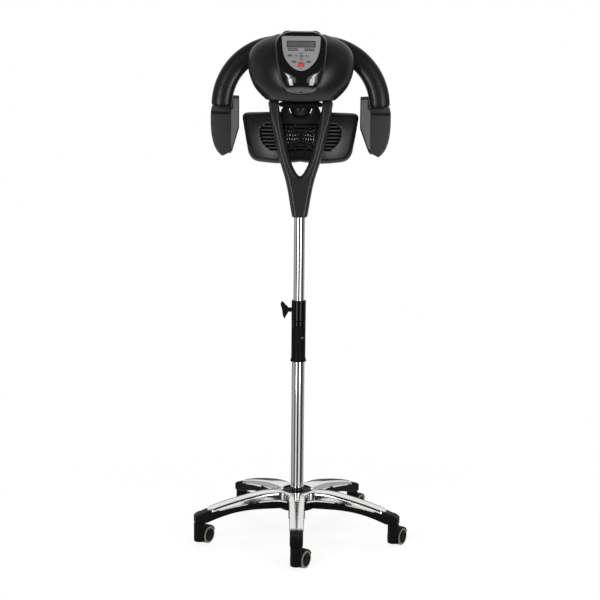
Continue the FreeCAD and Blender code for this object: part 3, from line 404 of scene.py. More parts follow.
def star_leg():
    """One fifth of the cover, as its top grid and its wall strip.

    Each row runs from one edge of the leg to the other.  Rows start as the arc of the
    hub hole, x = middle - (middle - end) v^2, straighten along the leg, and end as the
    tongue, x = end + tongue (1 - v^2).  The top falls by a crown of (y / half-width)^2 and
    by a quarter round of the distance to the outline.
    """
    v = to_edges(41)
    hole_x = HUB_HOLE * cos(radians(36))
    seam_x = hole_x + (VALLEY[0] - hole_x) * np.linspace(0, 1, 7)[:-1]
    seam_y = seam_x * tan(radians(36))
    arc_x = np.linspace(VALLEY[0], FILLET_X, 13)
    leg_x = np.r_[np.linspace(70, TONGUE_START, 34), np.linspace(240, LEG_END, 10)]
    end_x = np.r_[seam_x, arc_x, leg_x]
    end_y = np.r_[seam_y, leg_half_width(np.r_[arc_x, leg_x])]
    bow = np.interp(np.arange(len(end_x)), (0, 19, 27), (HUB_HOLE - end_x[0], 7, 0))
    bow += TONGUE * np.clip((end_x - TONGUE_START) / (LEG_END - TONGUE_START), 0, 1) ** 1.5
    x = end_x[:, None] + bow[:, None] * (1 - v ** 2)
    y = end_y[:, None] * v
    half = leg_half_width(np.minimum(x, LEG_END))
    hollow = np.hypot(x - FILLET_X, np.abs(y) - FILLET_Y) - FILLET_R
    side = np.where(x < FILLET_X, hollow, half - np.abs(y))
    nose = (LEG_END + TONGUE * (1 - v ** 2) - x) * 0.9
    edge = np.clip(np.minimum(side, nose), 0, None)
    outer = np.clip((np.hypot(x, y) - HUB_EDGE) / HUB_BLEND, 0, 1)
    z = height_on(LEG_RIDGE, x) - CROWN * outer * np.clip(np.abs(y) / half, 0, 1) ** 2
    z -= quarter_round(edge, SHOULDER)
    top = stack(x, y, z)
    rim = three_sides(top[len(seam_x):])
    hem = np.minimum(hem_height(rim[:, 0]), rim[:, 2] - LEAST_HEM)
    return [(top, False), (drawn(rim, 2, hem, 4), False)]


def star_cover():
    grids = [(spun(points, angle), wrap) for angle in LEG_ANGLES for points, wrap in star_leg()]
    piece("star_cover", "stand", "chrome", grids, ["chrome_star_cover"], wall=1.6,
          outward=(0, 0, 60), sharp=50)


def spider_leg():
    """Arched leg: rounded box sections between arch and top, drawn in a little at the tip.

    The tip's corners follow sqrt(1 - s^2) over the last 8 mm.
    """
    bend = LEG_TIP - TIP_CORNER
    x = np.r_[np.linspace(30, 250, 34), np.linspace(256, bend, 11),
              bend + TIP_CORNER * np.sin(np.linspace(0.15, pi / 2, 7))]
    nose = np.sqrt(np.maximum(1 - (np.clip(x - bend, 0, TIP_CORNER) / TIP_CORNER) ** 2, 0))
    wide = along_runs(LEG_SIDES, x) * (0.6 + 0.4 * nose)
    low = height_on(LEG_ARCH, x) + (1 - nose)
    high = np.minimum(along_runs(LEG_TOP, x), height_on(LEG_RIDGE, x) - COVER_GAP)
    high -= 2 * (1 - nose)
    section = oval(1, 1, 7.0, 48)
    middle, half = (low + high) / 2, (high - low) / 2
    points = stack(x[:, None], wide[:, None] * section[:, 0],
                   middle[:, None] + half[:, None] * section[:, 1])
    return closed_ends(points), True


def clip_tab():
    """Catch over the cover's side: a flat boss with a stepped top, rounded by its section."""
    x = np.r_[118, 120, 124, 131, 133, 140, 143, 152, 155, 157]
    top = np.r_[108, 115, 119.5, 121, 118.5, 118.5, 121, 120, 117, 110]
    s = np.linspace(0, 1, 7)
    z = CLIP_FOOT + (top - CLIP_FOOT)[:, None] * s
    edge = np.minimum(np.minimum(s, 1 - s) * 8, np.minimum(x - 117, 158 - x)[:, None] * 0.6)
    y = CLIP_FACE + CLIP_RISE * np.clip(edge, 0.15, 1) ** 0.5
    front = stack(x[:, None], y, z)
    rim = np.concatenate([front[:, 0], front[-1, 1:], front[:-1, -1][::-1],
                          front[0, 1:-1][::-1]])
    back = rim.copy()
    back[:, 1] = CLIP_BACK
    return [(front, False), (np.stack([rim, back]), True)]


def base_spider():
    grids = [lathe([(88, POLE), (88, 52), (89.2, 54.2), (92, 55.4), (108, 55.4), (113, 53),
                    (113, 19.3), (133, 19.3)], 96)]
    for angle in LEG_ANGLES:
        points, wrap = spider_leg()
        grids.append((spun(points, angle), wrap))
        for points, wrap in clip_tab():
            grids += [(spun(points * (1, side, 1), angle), wrap) for side in (1, -1)]
    piece("spider_frame", "stand", "black_nylon", grids, ["base_spider"], sharp=42)


def hub_disc():
    """Turned cap: chamfered rim, flat face and a raised ring round the tube."""
    profile = [(133, 46), (134.2, 45.8), (137.0, 44.4), (138.0, 42.6), (138.3, 38), (138.5, 30),
               (138.9, 24.5), (140.5, 23.6), (141.2, 22.4), (141.2, 19.2), (133, 19.2), (133, 46)]
    piece("hub_disc", "stand", "black_nylon", [lathe(profile, 96)], ["hub_cap"], bevel=0.3)


# --------------------------------------------------------------------------- casters
CASTER_RADIUS, CASTER_TRAIL, CASTER_HEADING = 296.0, 24.0, 57.0
WHEEL_RADIUS = 25.0
AXLE = (CASTER_TRAIL, 0, WHEEL_RADIUS)
HOOD_INNER, HOOD_FROM, HOOD_TO = 26.2, 20, 205
WEB_REACH, WEB_HUB, WEB_HALF, WEB_FLOOR = 26.8, 9.0, 7.0, 12.0
TREAD = [(8.5, 19.2), (8.5, 22.6), (9.2, 24.2), (10.8, 25), (16.2, 25), (17.8, 24.2),
         (18.5, 22.6), (18.5, 19.2), (8.5, 19.2)]
WHEEL_HUB = [(8.7, 4.2), (8.7, 19.3), (18.2, 19.3), (18.4, 18.4), (17.4, 17.6), (17.0, 16.4),
             (17.3, 9.0), (18.3, 7.6), (18.4, 6.0), (17.9, POLE)]
AXLE_ROD = [(-17, POLE), (-17, 4), (17, 4), (17, POLE)]


def placed_caster(points, angle):
    points = spun(points, CASTER_HEADING)
    return points + (CASTER_RADIUS * cos(radians(angle)), CASTER_RADIUS * sin(radians(angle)), 0)


def hood_shell():
    """Band bent round the axle: a closed strip section carried along an arc."""
    theta = np.radians(np.linspace(HOOD_FROM, HOOD_TO, 44))[:, None]
    half = [(18.5, HOOD_INNER), (18.5, 27.4), (17.9, 28.2), (16.8, 28.6), (8, 28.9)]
    section = [(-y, r) for y, r in half] + [(0, 29.0)] + half[::-1] + [(0, HOOD_INNER)]
    y, radius = np.transpose(section)
    return closed_ends(stack(CASTER_TRAIL + np.cos(theta) * radius, y,
                             WHEEL_RADIUS + np.sin(theta) * radius)), True


def hood_web():
    """Plate between the wheels: polar outline round the axle, 14 mm thick."""
    theta = full_turn(96)
    inside = (theta > radians(HOOD_FROM)) & (theta < radians(HOOD_TO))
    radius = np.where(inside, WEB_REACH, WEB_HUB)
    z = np.maximum(WHEEL_RADIUS + radius * np.sin(theta), WEB_FLOOR)
    x = CASTER_TRAIL + radius * np.cos(theta)
    return closed_ends(np.stack([stack(x, y, z) for y in (-WEB_HALF, WEB_HALF)])), True


def stem_shroud():
    """Round shroud in front of the wheels: a cylinder pushed out of the wheels' circle."""
    sides = [(z, 17.0) for z in np.linspace(12.5, 62.5, 26)]
    profile = [(10, POLE), (10, 14.5), (10.9, 16.4)] + sides
    profile += [(64.4, 16.4), (65.2, 15.0), (65.2, 5.6), (40, 5.6), (40, POLE)]
    points, wrap = lathe(profile, 56)
    x, y, z = np.moveaxis(points - AXLE, -1, 0)
    away = np.hypot(x, z)
    near = (np.abs(y) > 5.5) & (away < HOOD_INNER)
    push = np.where(near, HOOD_INNER / np.maximum(away, 1), 1)
    return stack(CASTER_TRAIL + x * push, y, WHEEL_RADIUS + z * push), wrap


def caster(number, angle):
    """Hood, web and stem shroud in one piece, then treads and hubs turned round the axle."""
    hood = [hood_shell(), hood_web(), stem_shroud()]
    tread = lathe_pair(TREAD, 56, AXLE, Y_AXIS, (1, -1))
    hubs = lathe_pair(WHEEL_HUB, 56, AXLE, Y_AXIS, (1, -1)) + [lathe(AXLE_ROD, 24, AXLE, Y_AXIS)]
    name, wheels = "caster_%d" % number, "caster_%d_wheels" % number
    for kind, body, slot, grids, node, sharp in (
            ("hood", name, "black_nylon", hood, name + "_housing", 42),
            ("tread", name + "_wheelset", "wheel_tread", tread, wheels, 40),
            ("hubs", name + "_wheelset", "black_nylon", hubs, wheels, 40)):
        grids = [(placed_caster(points, angle), wrap) for points, wrap in grids]
        piece("caster_%s_%d" % (kind, number), body, slot, grids, [node], sharp=sharp)


# ------------------------------------------------------------- column, clamp and mast
WING_HEIGHT = 679.0
SLEEVE = [(529, 19.1), (527.4, 20.5), (527, 22.0), (527.6, 23.0), (528.8, 23.4), (530.4, 23.3),
          (533, 22.2), (537, 21.1), (543, 20.7), (630.6, 20.6), (631, 20.2), (631, 19.1),
          (529, 19.1)]
COLLAR = [(631, 19.1), (631, 20.7), (632, 21.1), (633.2, 21.1), (633.6, 20.6), (639, 20.6),
          (639.5, 21.2), (641, 21.2), (641.5, 20.9), (648, 20.9), (648.6, 21.3), (650, 21.3),
          (651.5, 21.0), (704, 21.0), (706.2, 20.5), (707, 19.4), (707, 16.5), (698, 16.5),
          (698, 19.1), (631, 19.1)]


def tube(name, body, node, radius, low, high):
    """Thin-walled tube with softened ends."""
    inner, soft = radius - 1.5, 0.4
    profile = [(low, inner), (low, radius - soft), (low + soft, radius), (high - soft, radius),
               (high, radius - soft), (high, inner), (low, inner)]
    piece(name, body, "tube_chrome", [lathe(profile, 96)], [node])


def clamp():
    """Matt sleeve with a flared lip and a glossy collar with turned steps."""
    piece("sleeve", "stand", "matte_black", [lathe(SLEEVE, 96)], ["clamp_sleeve"])
    piece("collar", "stand", "gloss_black", [lathe(COLLAR, 96)], ["clamp_collar"],
          finish="collar_black")


def wing_knob():
    """Wing: lens sections between an outer and an inner edge curve, on a turned stem."""
    outer = smooth_line([(-41.4, 652.3), (-45.4, 660), (-48.6, 679), (-52.2, 698),
                         (-49.6, 703.4)], 40)
    inner = smooth_line([(-40.2, 652.3), (-36, 661.5), (-30.5, 671), (-28.5, 679), (-30.5, 687),
                         (-37, 692.8), (-44, 701), (-48.4, 703.5)], 40)
    section = oval(1, 1, 2.3, 36)
    middle, half = (outer + inner) / 2, (inner - outer) / 2
    depth = 3.4 + 2.7 * np.sin(np.linspace(0, pi, 40)) ** 1.2
    depth[[0, -1]] = 2.0
    blade = stack(middle[:, :1] + half[:, :1] * section[:, 0], depth[:, None] * section[:, 1],
                  middle[:, 1:] + half[:, 1:] * section[:, 0])
    stem = lathe([(-16.6, POLE), (-16.6, 3.9), (-21.5, 3.9), (-21.8, 6.8), (-25, 6.9),
                  (-28, 6.3), (-34, 6.4), (-42, 5.2), (-42, POLE)], 40, (0, 0, WING_HEIGHT),
                 X_AXIS)
    piece("wing_knob", "wing", "matte_black", [(closed_ends(blade), True), stem],
          ["wing_screw"], sharp=60)


# ------------------------------------------------------------------------------ fork
FORK_OUTER = [(22, 948), (25.7, 968), (33.3, 1014), (43.5, 1060), (56.8, 1102), (76.8, 1182),
              (86.6, 1224), (89.5, 1268)]
FORK_INNER = [(0, 1066), (11.5, 1077), (23, 1100), (42.3, 1168), (57.5, 1240), (61.6, 1268)]
FORK_FOOT, CROTCH, TILT_HEIGHT, FORK_DEPTH = 948.0, 1066.0, 1268.0, 20.0
HINGE_TOP, PAST_TOP = 1292.0, 1300.0


def fork_half():
    """Right half of the fork: front and back sheets between its outer and inner edges.

    Depth is 20 times a quarter round of the distance to either edge, and follows a
    circle about the tilt axis above it.
    """
    z = np.r_[948, 948.6, 950, 952.5, np.linspace(956, 1048, 30),
              np.linspace(1050, CROTCH - 0.4, 16), CROTCH + 1.2 * np.arange(0, 14) ** 1.25,
              np.linspace(1102, 1264, 48),
              TILT_HEIGHT + FORK_DEPTH * np.sin(np.linspace(0, pi / 2, 14))]
    outer_x, inner_x = FORK_OUTER[-1][0], FORK_INNER[-1][0]
    outer_line = np.vstack([smooth_line(FORK_OUTER, 160), (outer_x, HINGE_TOP)])
    inner_line = smooth_line([(-x, z) for x, z in FORK_INNER[:0:-1]] + FORK_INNER, 401)[200:]
    inner_line[0, 0] = 0
    inner_line = np.vstack([inner_line, (inner_x, HINGE_TOP)])
    outer = along_runs(outer_line[:, ::-1], z) - quarter_round(z - FORK_FOOT, 5.0)
    inner = np.where(z > CROTCH, along_runs(inner_line[:, ::-1], z), 0.0)
    x = inner[:, None] + (outer - inner)[:, None] * (to_edges(29) + 1) / 2
    height = np.broadcast_to(z[:, None], x.shape)
    from_outer = distance_to(np.vstack([outer_line, (outer_x, PAST_TOP)]), x, height)
    from_inner = distance_to(np.vstack([inner_line, (inner_x, PAST_TOP)]), x, height)
    from_outer[:, -1] = 0
    from_inner[z > CROTCH, 0] = 0
    depth = np.where(z > TILT_HEIGHT,
                     np.sqrt(np.maximum(FORK_DEPTH ** 2 - (z - TILT_HEIGHT) ** 2, 0)), FORK_DEPTH)
    depth = (depth - quarter_round(z - FORK_FOOT, 3.0))[:, None]
    soft = np.interp(z, (948, 1200, 1262), (13, 13.5, 5))[:, None]
    for distance in (from_outer, from_inner):
        depth = depth * (1 - quarter_round(distance / soft * 10, 10) / 10)
    front, back = stack(x, -depth, height), stack(x, depth, height)
    return [(front, False), (back, False), (np.stack([front[0], back[0]]), False)]


def fork():
    grids = [(points * (side, 1, 1), wrap) for side in (1, -1) for points, wrap in fork_half()]
    piece("fork_arms", "fork", "satin_black", grids, ["yoke"], finish="fork_black", sharp=65)


# ------------------------------------------------------------------------ head shells
# Levels of a shell: height, half-width and depth.
DOME_LEVELS = [(1262, 70, 40), (1279, 95, 56), (1296, 114, 68), (1318, 132, 78),
               (1346, 144.5, 83), (1380, 150, 80), (1412, 145, 68), (1433, 131, 54),
               (1452, 100, 36), (1464, 68, 20)]
CANOPY_LEVELS = [(1312, 118, 96), (1350, 121, 104), (1395, 113, 98), (1432, 86, 72),
                 (1454, 50, 40)]
DOME_REAR, DOME_TOP = 30.0, 1464.0
CANOPY_FRONT, CANOPY_BEND, CANOPY_MIDDLE, CANOPY_TOP = 94.0, 128.0, 118.0, 1454.0
HEAD_WALL = 3.0
LIP_FRONT, LIP_FRONT_Y, LIP_SLOPE, LIP_PASSES = 1257.0, -200.0, 33 / 260, 12


def level_at(levels, z):
    """Half-width and depth of a shell at a height, from smooth curves through its levels."""
    lines = [smooth_line([(row[0], row[k]) for row in levels], 200) for k in (1, 2)]
    return [along_runs(line, z) for line in lines]


def bowl_section(count_side, count_bow):
    """Run round half a shell: straight side, half ellipse, straight side."""
    turn = np.linspace(0, pi, count_bow)
    flat, ends = np.zeros(count_side), np.ones(count_side)
    across = np.r_[-ends, -np.cos(turn)[1:-1], ends]
    bow = np.r_[flat, np.sin(turn)[1:-1], flat]
    straight = np.r_[np.linspace(1, 0, count_side), np.zeros(count_bow - 2),
                     np.linspace(0, 1, count_side)]
    return across, bow, straight


def head_shell(name, side, ring, pole, node, heart):
    """Open shell of side rows, closed above by a smaller ring and a pole."""
    points = np.concatenate([side, ring[None], np.broadcast_to(pole, ring.shape)[None]])
    piece(name, "head", "satin_black", [(points, False)], [node], wall=HEAD_WALL, outward=heart,
          sharp=50)


def dome():
    """Front shell: an ellipse of the level's width and depth at each height, over a sloping lip.

    The lip's height at a point depends on its y, and its y on the height, so the two are
    worked out in turn.
    """
    across, bow, straight = bowl_section(6, 81)
    low = np.full(across.shape, 1275.0)
    for _ in range(LIP_PASSES):
        _, depth = level_at(DOME_LEVELS, low)
        low = LIP_FRONT + (-depth * bow + DOME_REAR * straight - LIP_FRONT_Y) * LIP_SLOPE
    z = low + (DOME_TOP - low) * (np.linspace(0, 1, 57) ** 0.9)[:, None]
    width, depth = level_at(DOME_LEVELS, z)
    side = stack(width * across, -depth * bow + DOME_REAR * straight, z)
    ring = stack(side[-1, :, 0] * 0.45, side[-1, :, 1] * 0.45 + 14, DOME_TOP + 1.2)
    head_shell("dome_shell", side, ring, (0, 16.0, DOME_TOP + 1.6), "dome_cover", (0, 30, 1370))


def canopy():
    """Rear shell over the crown lamps, closed at its top."""
    across, bow, straight = bowl_section(5, 61)
    z = np.linspace(CANOPY_LEVELS[0][0], CANOPY_TOP, 41)[:, None]
    width, depth = level_at(CANOPY_LEVELS, z)
    y = CANOPY_BEND + depth * bow - (CANOPY_BEND - CANOPY_FRONT) * straight
    side = stack(width * across, y, z)
    ring = stack(side[-1, :, 0] * 0.6, CANOPY_MIDDLE + (side[-1, :, 1] - CANOPY_MIDDLE) * 0.6,
                 CANOPY_TOP + 1.6)
    head_shell("canopy_shell", side, ring, (0, CANOPY_MIDDLE, CANOPY_TOP + 2.0), "crown_canopy",
               (0, 110, 1380))


PANEL_SLOPE, PANEL_Y, PANEL_Z = radians(24.0), -100.0, 1360.4
FAIRING_SIDE = [(0, 1294), (23.7, 1297), (41.7, 1308), (58.4, 1335), (68.7, 1390), (71, 1420),
                (70.5, 1442), (65.5, 1452.5), (55, 1461.5), (42, 1468), (30, 1471.5)]
FAIRING_BACK = 2.0 / cos(PANEL_SLOPE)
DRUM_RADIUS, DRUM_MIDDLE, BROW_HEIGHT = 115.0, 7.0, 1462.0
CHIN_TOP, CHIN_BLEND = 1354.0, 16.0


def dome_front(x, z):
    """Y of the dome's outer face."""
    width, depth = level_at(DOME_LEVELS, np.clip(z, DOME_LEVELS[0][0], DOME_TOP))
    inside = np.clip(1 - (x / width) ** 2, 0, 1)
    return np.where(np.abs(x) < width, -depth * np.sqrt(inside), DOME_REAR)


def fairing():
    """Tongue round the panel: a sloping face on a rounded plan, rolled over at its outline.

    y is the larger of the side profile and a drum of radius 115, which turns into their
    sum below the panel, plus a quarter round of the distance to the outline; a wall runs
    back from there into the dome.
    """
    side = smooth_line(FAIRING_SIDE, 60)
    side[0] = (0.02, FAIRING_SIDE[0][1])
    x = side[:, :1] * to_edges(45)
    low_y = PANEL_Y + FAIRING_BACK
    high_y = low_y + (BROW_HEIGHT - PANEL_Z) * tan(PANEL_SLOPE)
    chin = smooth_line([(1288, low_y + 44), (1298, low_y + 12), (1322, low_y - 5),
                        (1344, low_y - 7), (PANEL_Z, low_y)], 80)
    brow = smooth_line([(BROW_HEIGHT, high_y), (1468.5, high_y + 3.4), (1472.5, high_y + 12)], 20)
    profile = np.vstack([chin, brow])
    z = np.broadcast_to(side[:, 1:], x.shape)
    face = along_runs(profile, z)
    drum = np.sqrt(DRUM_RADIUS ** 2 - x ** 2)
    share = np.clip((CHIN_TOP - z) / CHIN_BLEND, 0, 1)
    share = share ** 2 * (3 - 2 * share)
    y = soft_max(face, DRUM_MIDDLE - drum, 3.0) * (1 - share) + (face + DRUM_RADIUS - drum) * share
    edge = distance_to(np.vstack([side, side[::-1] * (-1, 1)]), x, z)
    edge[:, 0] = edge[:, -1] = 0
    edge[-1] = 0
    top = stack(x, y + quarter_round(edge, 6.0), z)
    rim = three_sides(top)
    back = np.minimum(dome_front(rim[:, 0], rim[:, 2]) + 4, DOME_REAR)
    back = np.where(rim[:, 2] > BROW_HEIGHT - 1, DOME_REAR, back)
    wall = drawn(rim, 1, np.maximum(back, rim[:, 1] + 1), 6)
    piece("panel_fairing", "head", "gloss_black", [(top, False), (wall, False)],
          ["centre_fairing"], outward=(0, 20, 1400), sharp=50)


def on_panel(points):
    """From the panel's own frame, x across, y out of the face negative, z up the slope."""
    c, s = cos(PANEL_SLOPE), sin(PANEL_SLOPE)
    x, y, z = points[..., 0], points[..., 1], points[..., 2]
    return stack(x, PANEL_Y + c * y + s * z, PANEL_Z - s * y + c * z)


def up_slope(z):
    return (z - PANEL_Z) / cos(PANEL_SLOPE)


# Keys: name, x and height of the middle, then width and height of the cap.
KEYS = [("key_up", 1, 1408.6, 10, 6), ("key_left", -14, 1401, 10, 6),
        ("key_select", 1, 1400.4, 10, 6), ("key_right", 16, 1401, 10, 6),
        ("key_down", 1, 1392.2, 10, 6), ("key_mode", -31, 1402, 11, 6),
        ("key_programme", -19.6, 1385, 11, 6), ("key_timer", 20.6, 1385, 11, 6),
        ("key_start", 0, 1377.6, 17, 13)]
KEY_RINGS = ((3.9, 1.0), (-0.3, 1.0), (-0.75, 0.955), (-1.0, 0.86), (-1.12, 0.6), (-1.16, 0.0))
ARROW_TURNS = {"key_up": 90, "key_down": -90, "key_left": 180, "key_right": 0}
MARK_PROUD, LEGEND_PROUD = 0.12, 1.24
SCREEN_MIDDLE, SCREEN_HALF, SCREEN_TALL, SCREEN_OVERLAP = 1433.8, 38.7, 18.0, 1.6


def key_caps():
    """Pillow-topped caps: superellipse rings that step in and out over a rounded rim."""
    for name, x, z, wide, tall in KEYS:
        layers = [(oval(wide / 2 * shrink, tall / 2 * shrink, 4.5, 48), out)
                  for out, shrink in KEY_RINGS]
        piece(name + "_cap", name, "key_red" if name == "key_start" else "key_grey",
              [(on_panel(facing(layers, x, up_slope(z))), True)], [name], sharp=60)


def marks(name, body, outlines, proud):
    """Thin printed shapes: convex outlines on the panel with a small thickness."""
    grids = []
    for corners in outlines:
        outline = np.asarray(corners, float)
        middle = np.broadcast_to(outline.mean(0), outline.shape)
        grids.append((on_panel(facing([(outline, 0.4), (outline, -proud), (middle, -proud)])),
                      True))
    piece(name, body, "matte_black", grids, finish="soot", sharp=30)


def bar(x, z, wide, tall):
    return [(x + side * wide / 2, z + up * tall / 2)
            for side, up in ((-1, -1), (1, -1), (1, 1), (-1, 1))]


def arrow(x, z, size, degrees):
    c, s = cos(radians(degrees)), sin(radians(degrees))
    return [(x + size * (c * a - s * b), z + size * (s * a + c * b))
            for a, b in ((1, 0), (-0.6, 0.8), (-0.6, -0.8))]


def panel_marks():
    """Plain blocks under the display and on the keys, in place of words."""
    blocks = []
    for middle in (-23, 23):
        for x, wide in zip(middle + np.array([-11.6, -5.8, 0.4, 6.4, 11.8]),
                           (5.4, 4.8, 5.8, 4.8, 4.4)):
            blocks.append(bar(x, up_slope(1420.4), wide, 3.0))
            blocks.append(bar(x + 0.3, up_slope(1416.2), wide - 0.8, 2.8))
    blocks.append(bar(0, up_slope(1367.6), 6, 1.2))
    marks("panel_marks", "head", blocks, MARK_PROUD)
    for name, x, z, _, _ in KEYS:
        middle = up_slope(z)
        if name in ARROW_TURNS:
            legends = [arrow(x, middle, 3.0, ARROW_TURNS[name])]
        elif name == "key_select":
            legends = [bar(x, middle, 6.0, 4.0)]
        elif name == "key_start":
            legends = [bar(x + dx, middle + 2.6, 2.6, 1.8) for dx in (-4.4, -0.8, 2.8)]
        else:
            legends = [bar(x + dx, middle + dz, 2.9, 1.9)
                       for dz in (-1.3, 1.3) for dx in (-3.4, 0, 3.4)]
        marks(name + "_legend", name, legends, LEGEND_PROUD)


def screen_frame():
    """Thin dark bezel round the display, two nested rectangles with a small rise."""
    layers = [(np.array(bar(0, up_slope(SCREEN_MIDDLE), 2 * (SCREEN_HALF + grow) - SCREEN_OVERLAP,
                            SCREEN_TALL + 2 * grow - SCREEN_OVERLAP)), out)
              for grow, out in ((1.9, 0.4), (1.9, -0.25), (0.3, -0.25), (0.3, 1.0), (1.9, 0.4))]
    piece("screen_frame", "head", "matte_black", [(on_panel(facing(layers)), True)],
          finish="soot", sharp=30)


def panel_rim():
    """Dark gasket that frames the panel, a round bead carried along its outline."""
    side = smooth_line([(0, PANEL_Z), (13, 1362.8), (27, 1372.5), (43, 1392), (51, 1418),
                        (54, 1452)], 60)
    side = np.vstack([side, (51, 1456)])
    side[:, 1] = up_slope(side[:, 1])
    path = np.vstack([side, side[::-1][:-1] * (-1, 1)])
    along = np.roll(path, -1, 0) - np.roll(path, 1, 0)
    normal = np.stack([along[:, 1], -along[:, 0]], -1)
    normal /= np.linalg.norm(normal, axis=1, keepdims=True)
    turn = full_turn(12)
    offset, out = 0.9 * np.cos(turn) + 0.5, -0.9 * np.sin(turn) + 0.9
    points = stack(path[:, 0, None] + normal[:, 0, None] * offset, out,
                   path[:, 1, None] + normal[:, 1, None] * offset)
    points = np.concatenate([points, points[:1]])
    piece("panel_gasket", "head", "matte_black", [(on_panel(points), True)])


NAPE_HINGE = (0, 45, 1262)
BALL_RADIUS = 31.5


def chassis_covers():
    """Smooth ball over the nape knuckle and sleeves over the tilt bar."""
    ball = [(-BALL_RADIUS * cos(a), max(BALL_RADIUS * sin(a), POLE))
            for a in np.linspace(0.0, pi, 37)]
    piece("knuckle_ball", "head", "matte_black", [lathe(ball, 72, NAPE_HINGE)],
          finish="satin_black")
    sleeve = [(59.4, POLE), (59.4, 6.2), (58.8, 6.8), (50.8, 6.8), (50.4, 9.8), (49.4, 10.9),
              (4, 11.0), (4, POLE)]
    piece("tilt_sleeves", "head", "matte_black",
          lathe_pair(sleeve, 56, (0, 0, TILT_HEIGHT), X_AXIS))


# ------------------------------------------------------------------------------ arms
ARM_CENTRE_X, ARM_CENTRE_Z, ARM_RADIUS, ARM_Y = 57.5, 1264.0, 170.0, 62.0
ARM_HALF_WIDTH, ARM_HALF_DEPTH = 30.0, 20.0
SWIVEL_X = ARM_CENTRE_X + ARM_RADIUS
KNUCKLE = (38.0, 0, 1455.0)
SEAM_ANGLE = 19.2


def right_arm():
    """Quarter ring: an oval section carried round an arc, pinched at its foot and seam."""
    angle = np.unique(np.r_[-0.35, -0.2, np.linspace(0, 97, 90),
                            np.linspace(SEAM_ANGLE - 0.4, SEAM_ANGLE + 0.4, 7),
                            np.linspace(0, 2.6, 14)])[:, None]
    pinch = (0.55 * np.exp(-((angle - SEAM_ANGLE) / 0.16) ** 2)
             + 2.2 * np.exp(-((angle - 0.3) / 0.75) ** 4))
    section = oval(1, 1, 2.15, 64)
    radial = ARM_RADIUS + (ARM_HALF_WIDTH - pinch) * section[:, 0]
    y = ARM_Y + (ARM_HALF_DEPTH - pinch) * section[:, 1]
    points = stack(ARM_CENTRE_X + radial * np.cos(np.radians(angle)), y,
                   ARM_CENTRE_Z + radial * np.sin(np.radians(angle)))
    near, far = ARM_Y - ARM_HALF_DEPTH, ARM_Y + ARM_HALF_DEPTH
    knuckle = [(near, POLE), (near, 7), (near + 0.8, 7.6), (near + 0.8, 15.5), (near, 16.2),
               (near, 18), (near + 1.2, 20.8), (near + 3.6, 22), (far - 3.6, 22),
               (far - 1.2, 20.8), (far, 18), (far, POLE)]
    pin = [(1228, POLE), (1228, 7.9), (1263, 7.9), (1263, POLE)]
    return [(closed_ends(points), True), lathe(knuckle, 72, KNUCKLE, Y_AXIS),
            lathe(pin, 32, (SWIVEL_X, ARM_Y, 0))]


def arms():
    for side, flip in (("right", 1), ("left", -1)):
        grids = [(points * (flip, 1, 1), wrap) for points, wrap in right_arm()]
        piece("swing_arm_" + side, side + "_arm", "satin_black", grids, ["arm_" + side],
              sharp=50)


# ---------------------------------------------------------------------- side heaters
POD_INNER, POD_TOP, POD_SEAT, POD_NEAR, POD_FAR = 197.5, 1295.0, 1262.5, 20.0, 260.0
POD_BROW, POD_NEAR_FLOOR, POD_FAR_FLOOR, POD_FOOT = 1242.0, 1118.0, 1197.0, 1132.3
POD_BULGE = [(221.5, 1119), (234.5, 1131.5), (244.5, 1149), (253.5, 1186), (255.5, 1222),
             (254.5, 1260), (247.5, 1287), (237.5, POD_TOP)]
NEAR_ROUND, FAR_ROUND = 5.0, 14.0
CAP_RINGS = (1, 0.985, 0.86, 0.06, 0)
# Shares by which the outline is drawn in at each end, across and upright.
NEAR_DRAW, FAR_DRAW = (0.09, 0.04), (0.16, 0.12)
# Outline of the lamp opening as (y, z), and the step inwards of its rim at each corner.
SHIELD_RIM = [(POD_NEAR + 1, POD_FOOT + 1), (63, POD_FOOT + 1), (POD_FAR - 4, POD_FAR_FLOOR),
              (POD_FAR - 4, POD_TOP - 4), (88, POD_TOP - 4), (88, POD_SEAT - 1),
              (42, POD_SEAT - 1), (POD_NEAR + 1, POD_BROW)]
SHIELD_STEP = [(5, 7), (2, 7), (-8, 5), (-8, -7), (7, -7), (7, -7), (1, -7), (5, -3)]


def pod_section():
    """Open outline from the inner lower edge, round the outside, to the inner upper edge."""
    foot = np.linspace((POD_INNER, POD_FOOT), POD_BULGE[0], 12)[:-1]
    roof = np.linspace(POD_BULGE[-1], (POD_INNER, POD_TOP), 14)[1:]
    return np.vstack([foot, smooth_line(POD_BULGE, 52), roof])


def pod_stations():
    """Each section's y, closer together at both ends and at the notch behind the seat."""
    near = POD_NEAR + NEAR_ROUND * (1 - np.cos(np.linspace(0, pi / 2, 7)))
    middle = np.r_[np.linspace(27, 41, 8), np.linspace(43, 82, 11), 84.5, 85.6, 86.4, 87.5, 90,
                   np.linspace(94, 246, 34)]
    far = POD_FAR - FAR_ROUND * (1 - np.sin(np.linspace(0, pi / 2, 9)))
    return np.r_[near, middle, far[1:]]


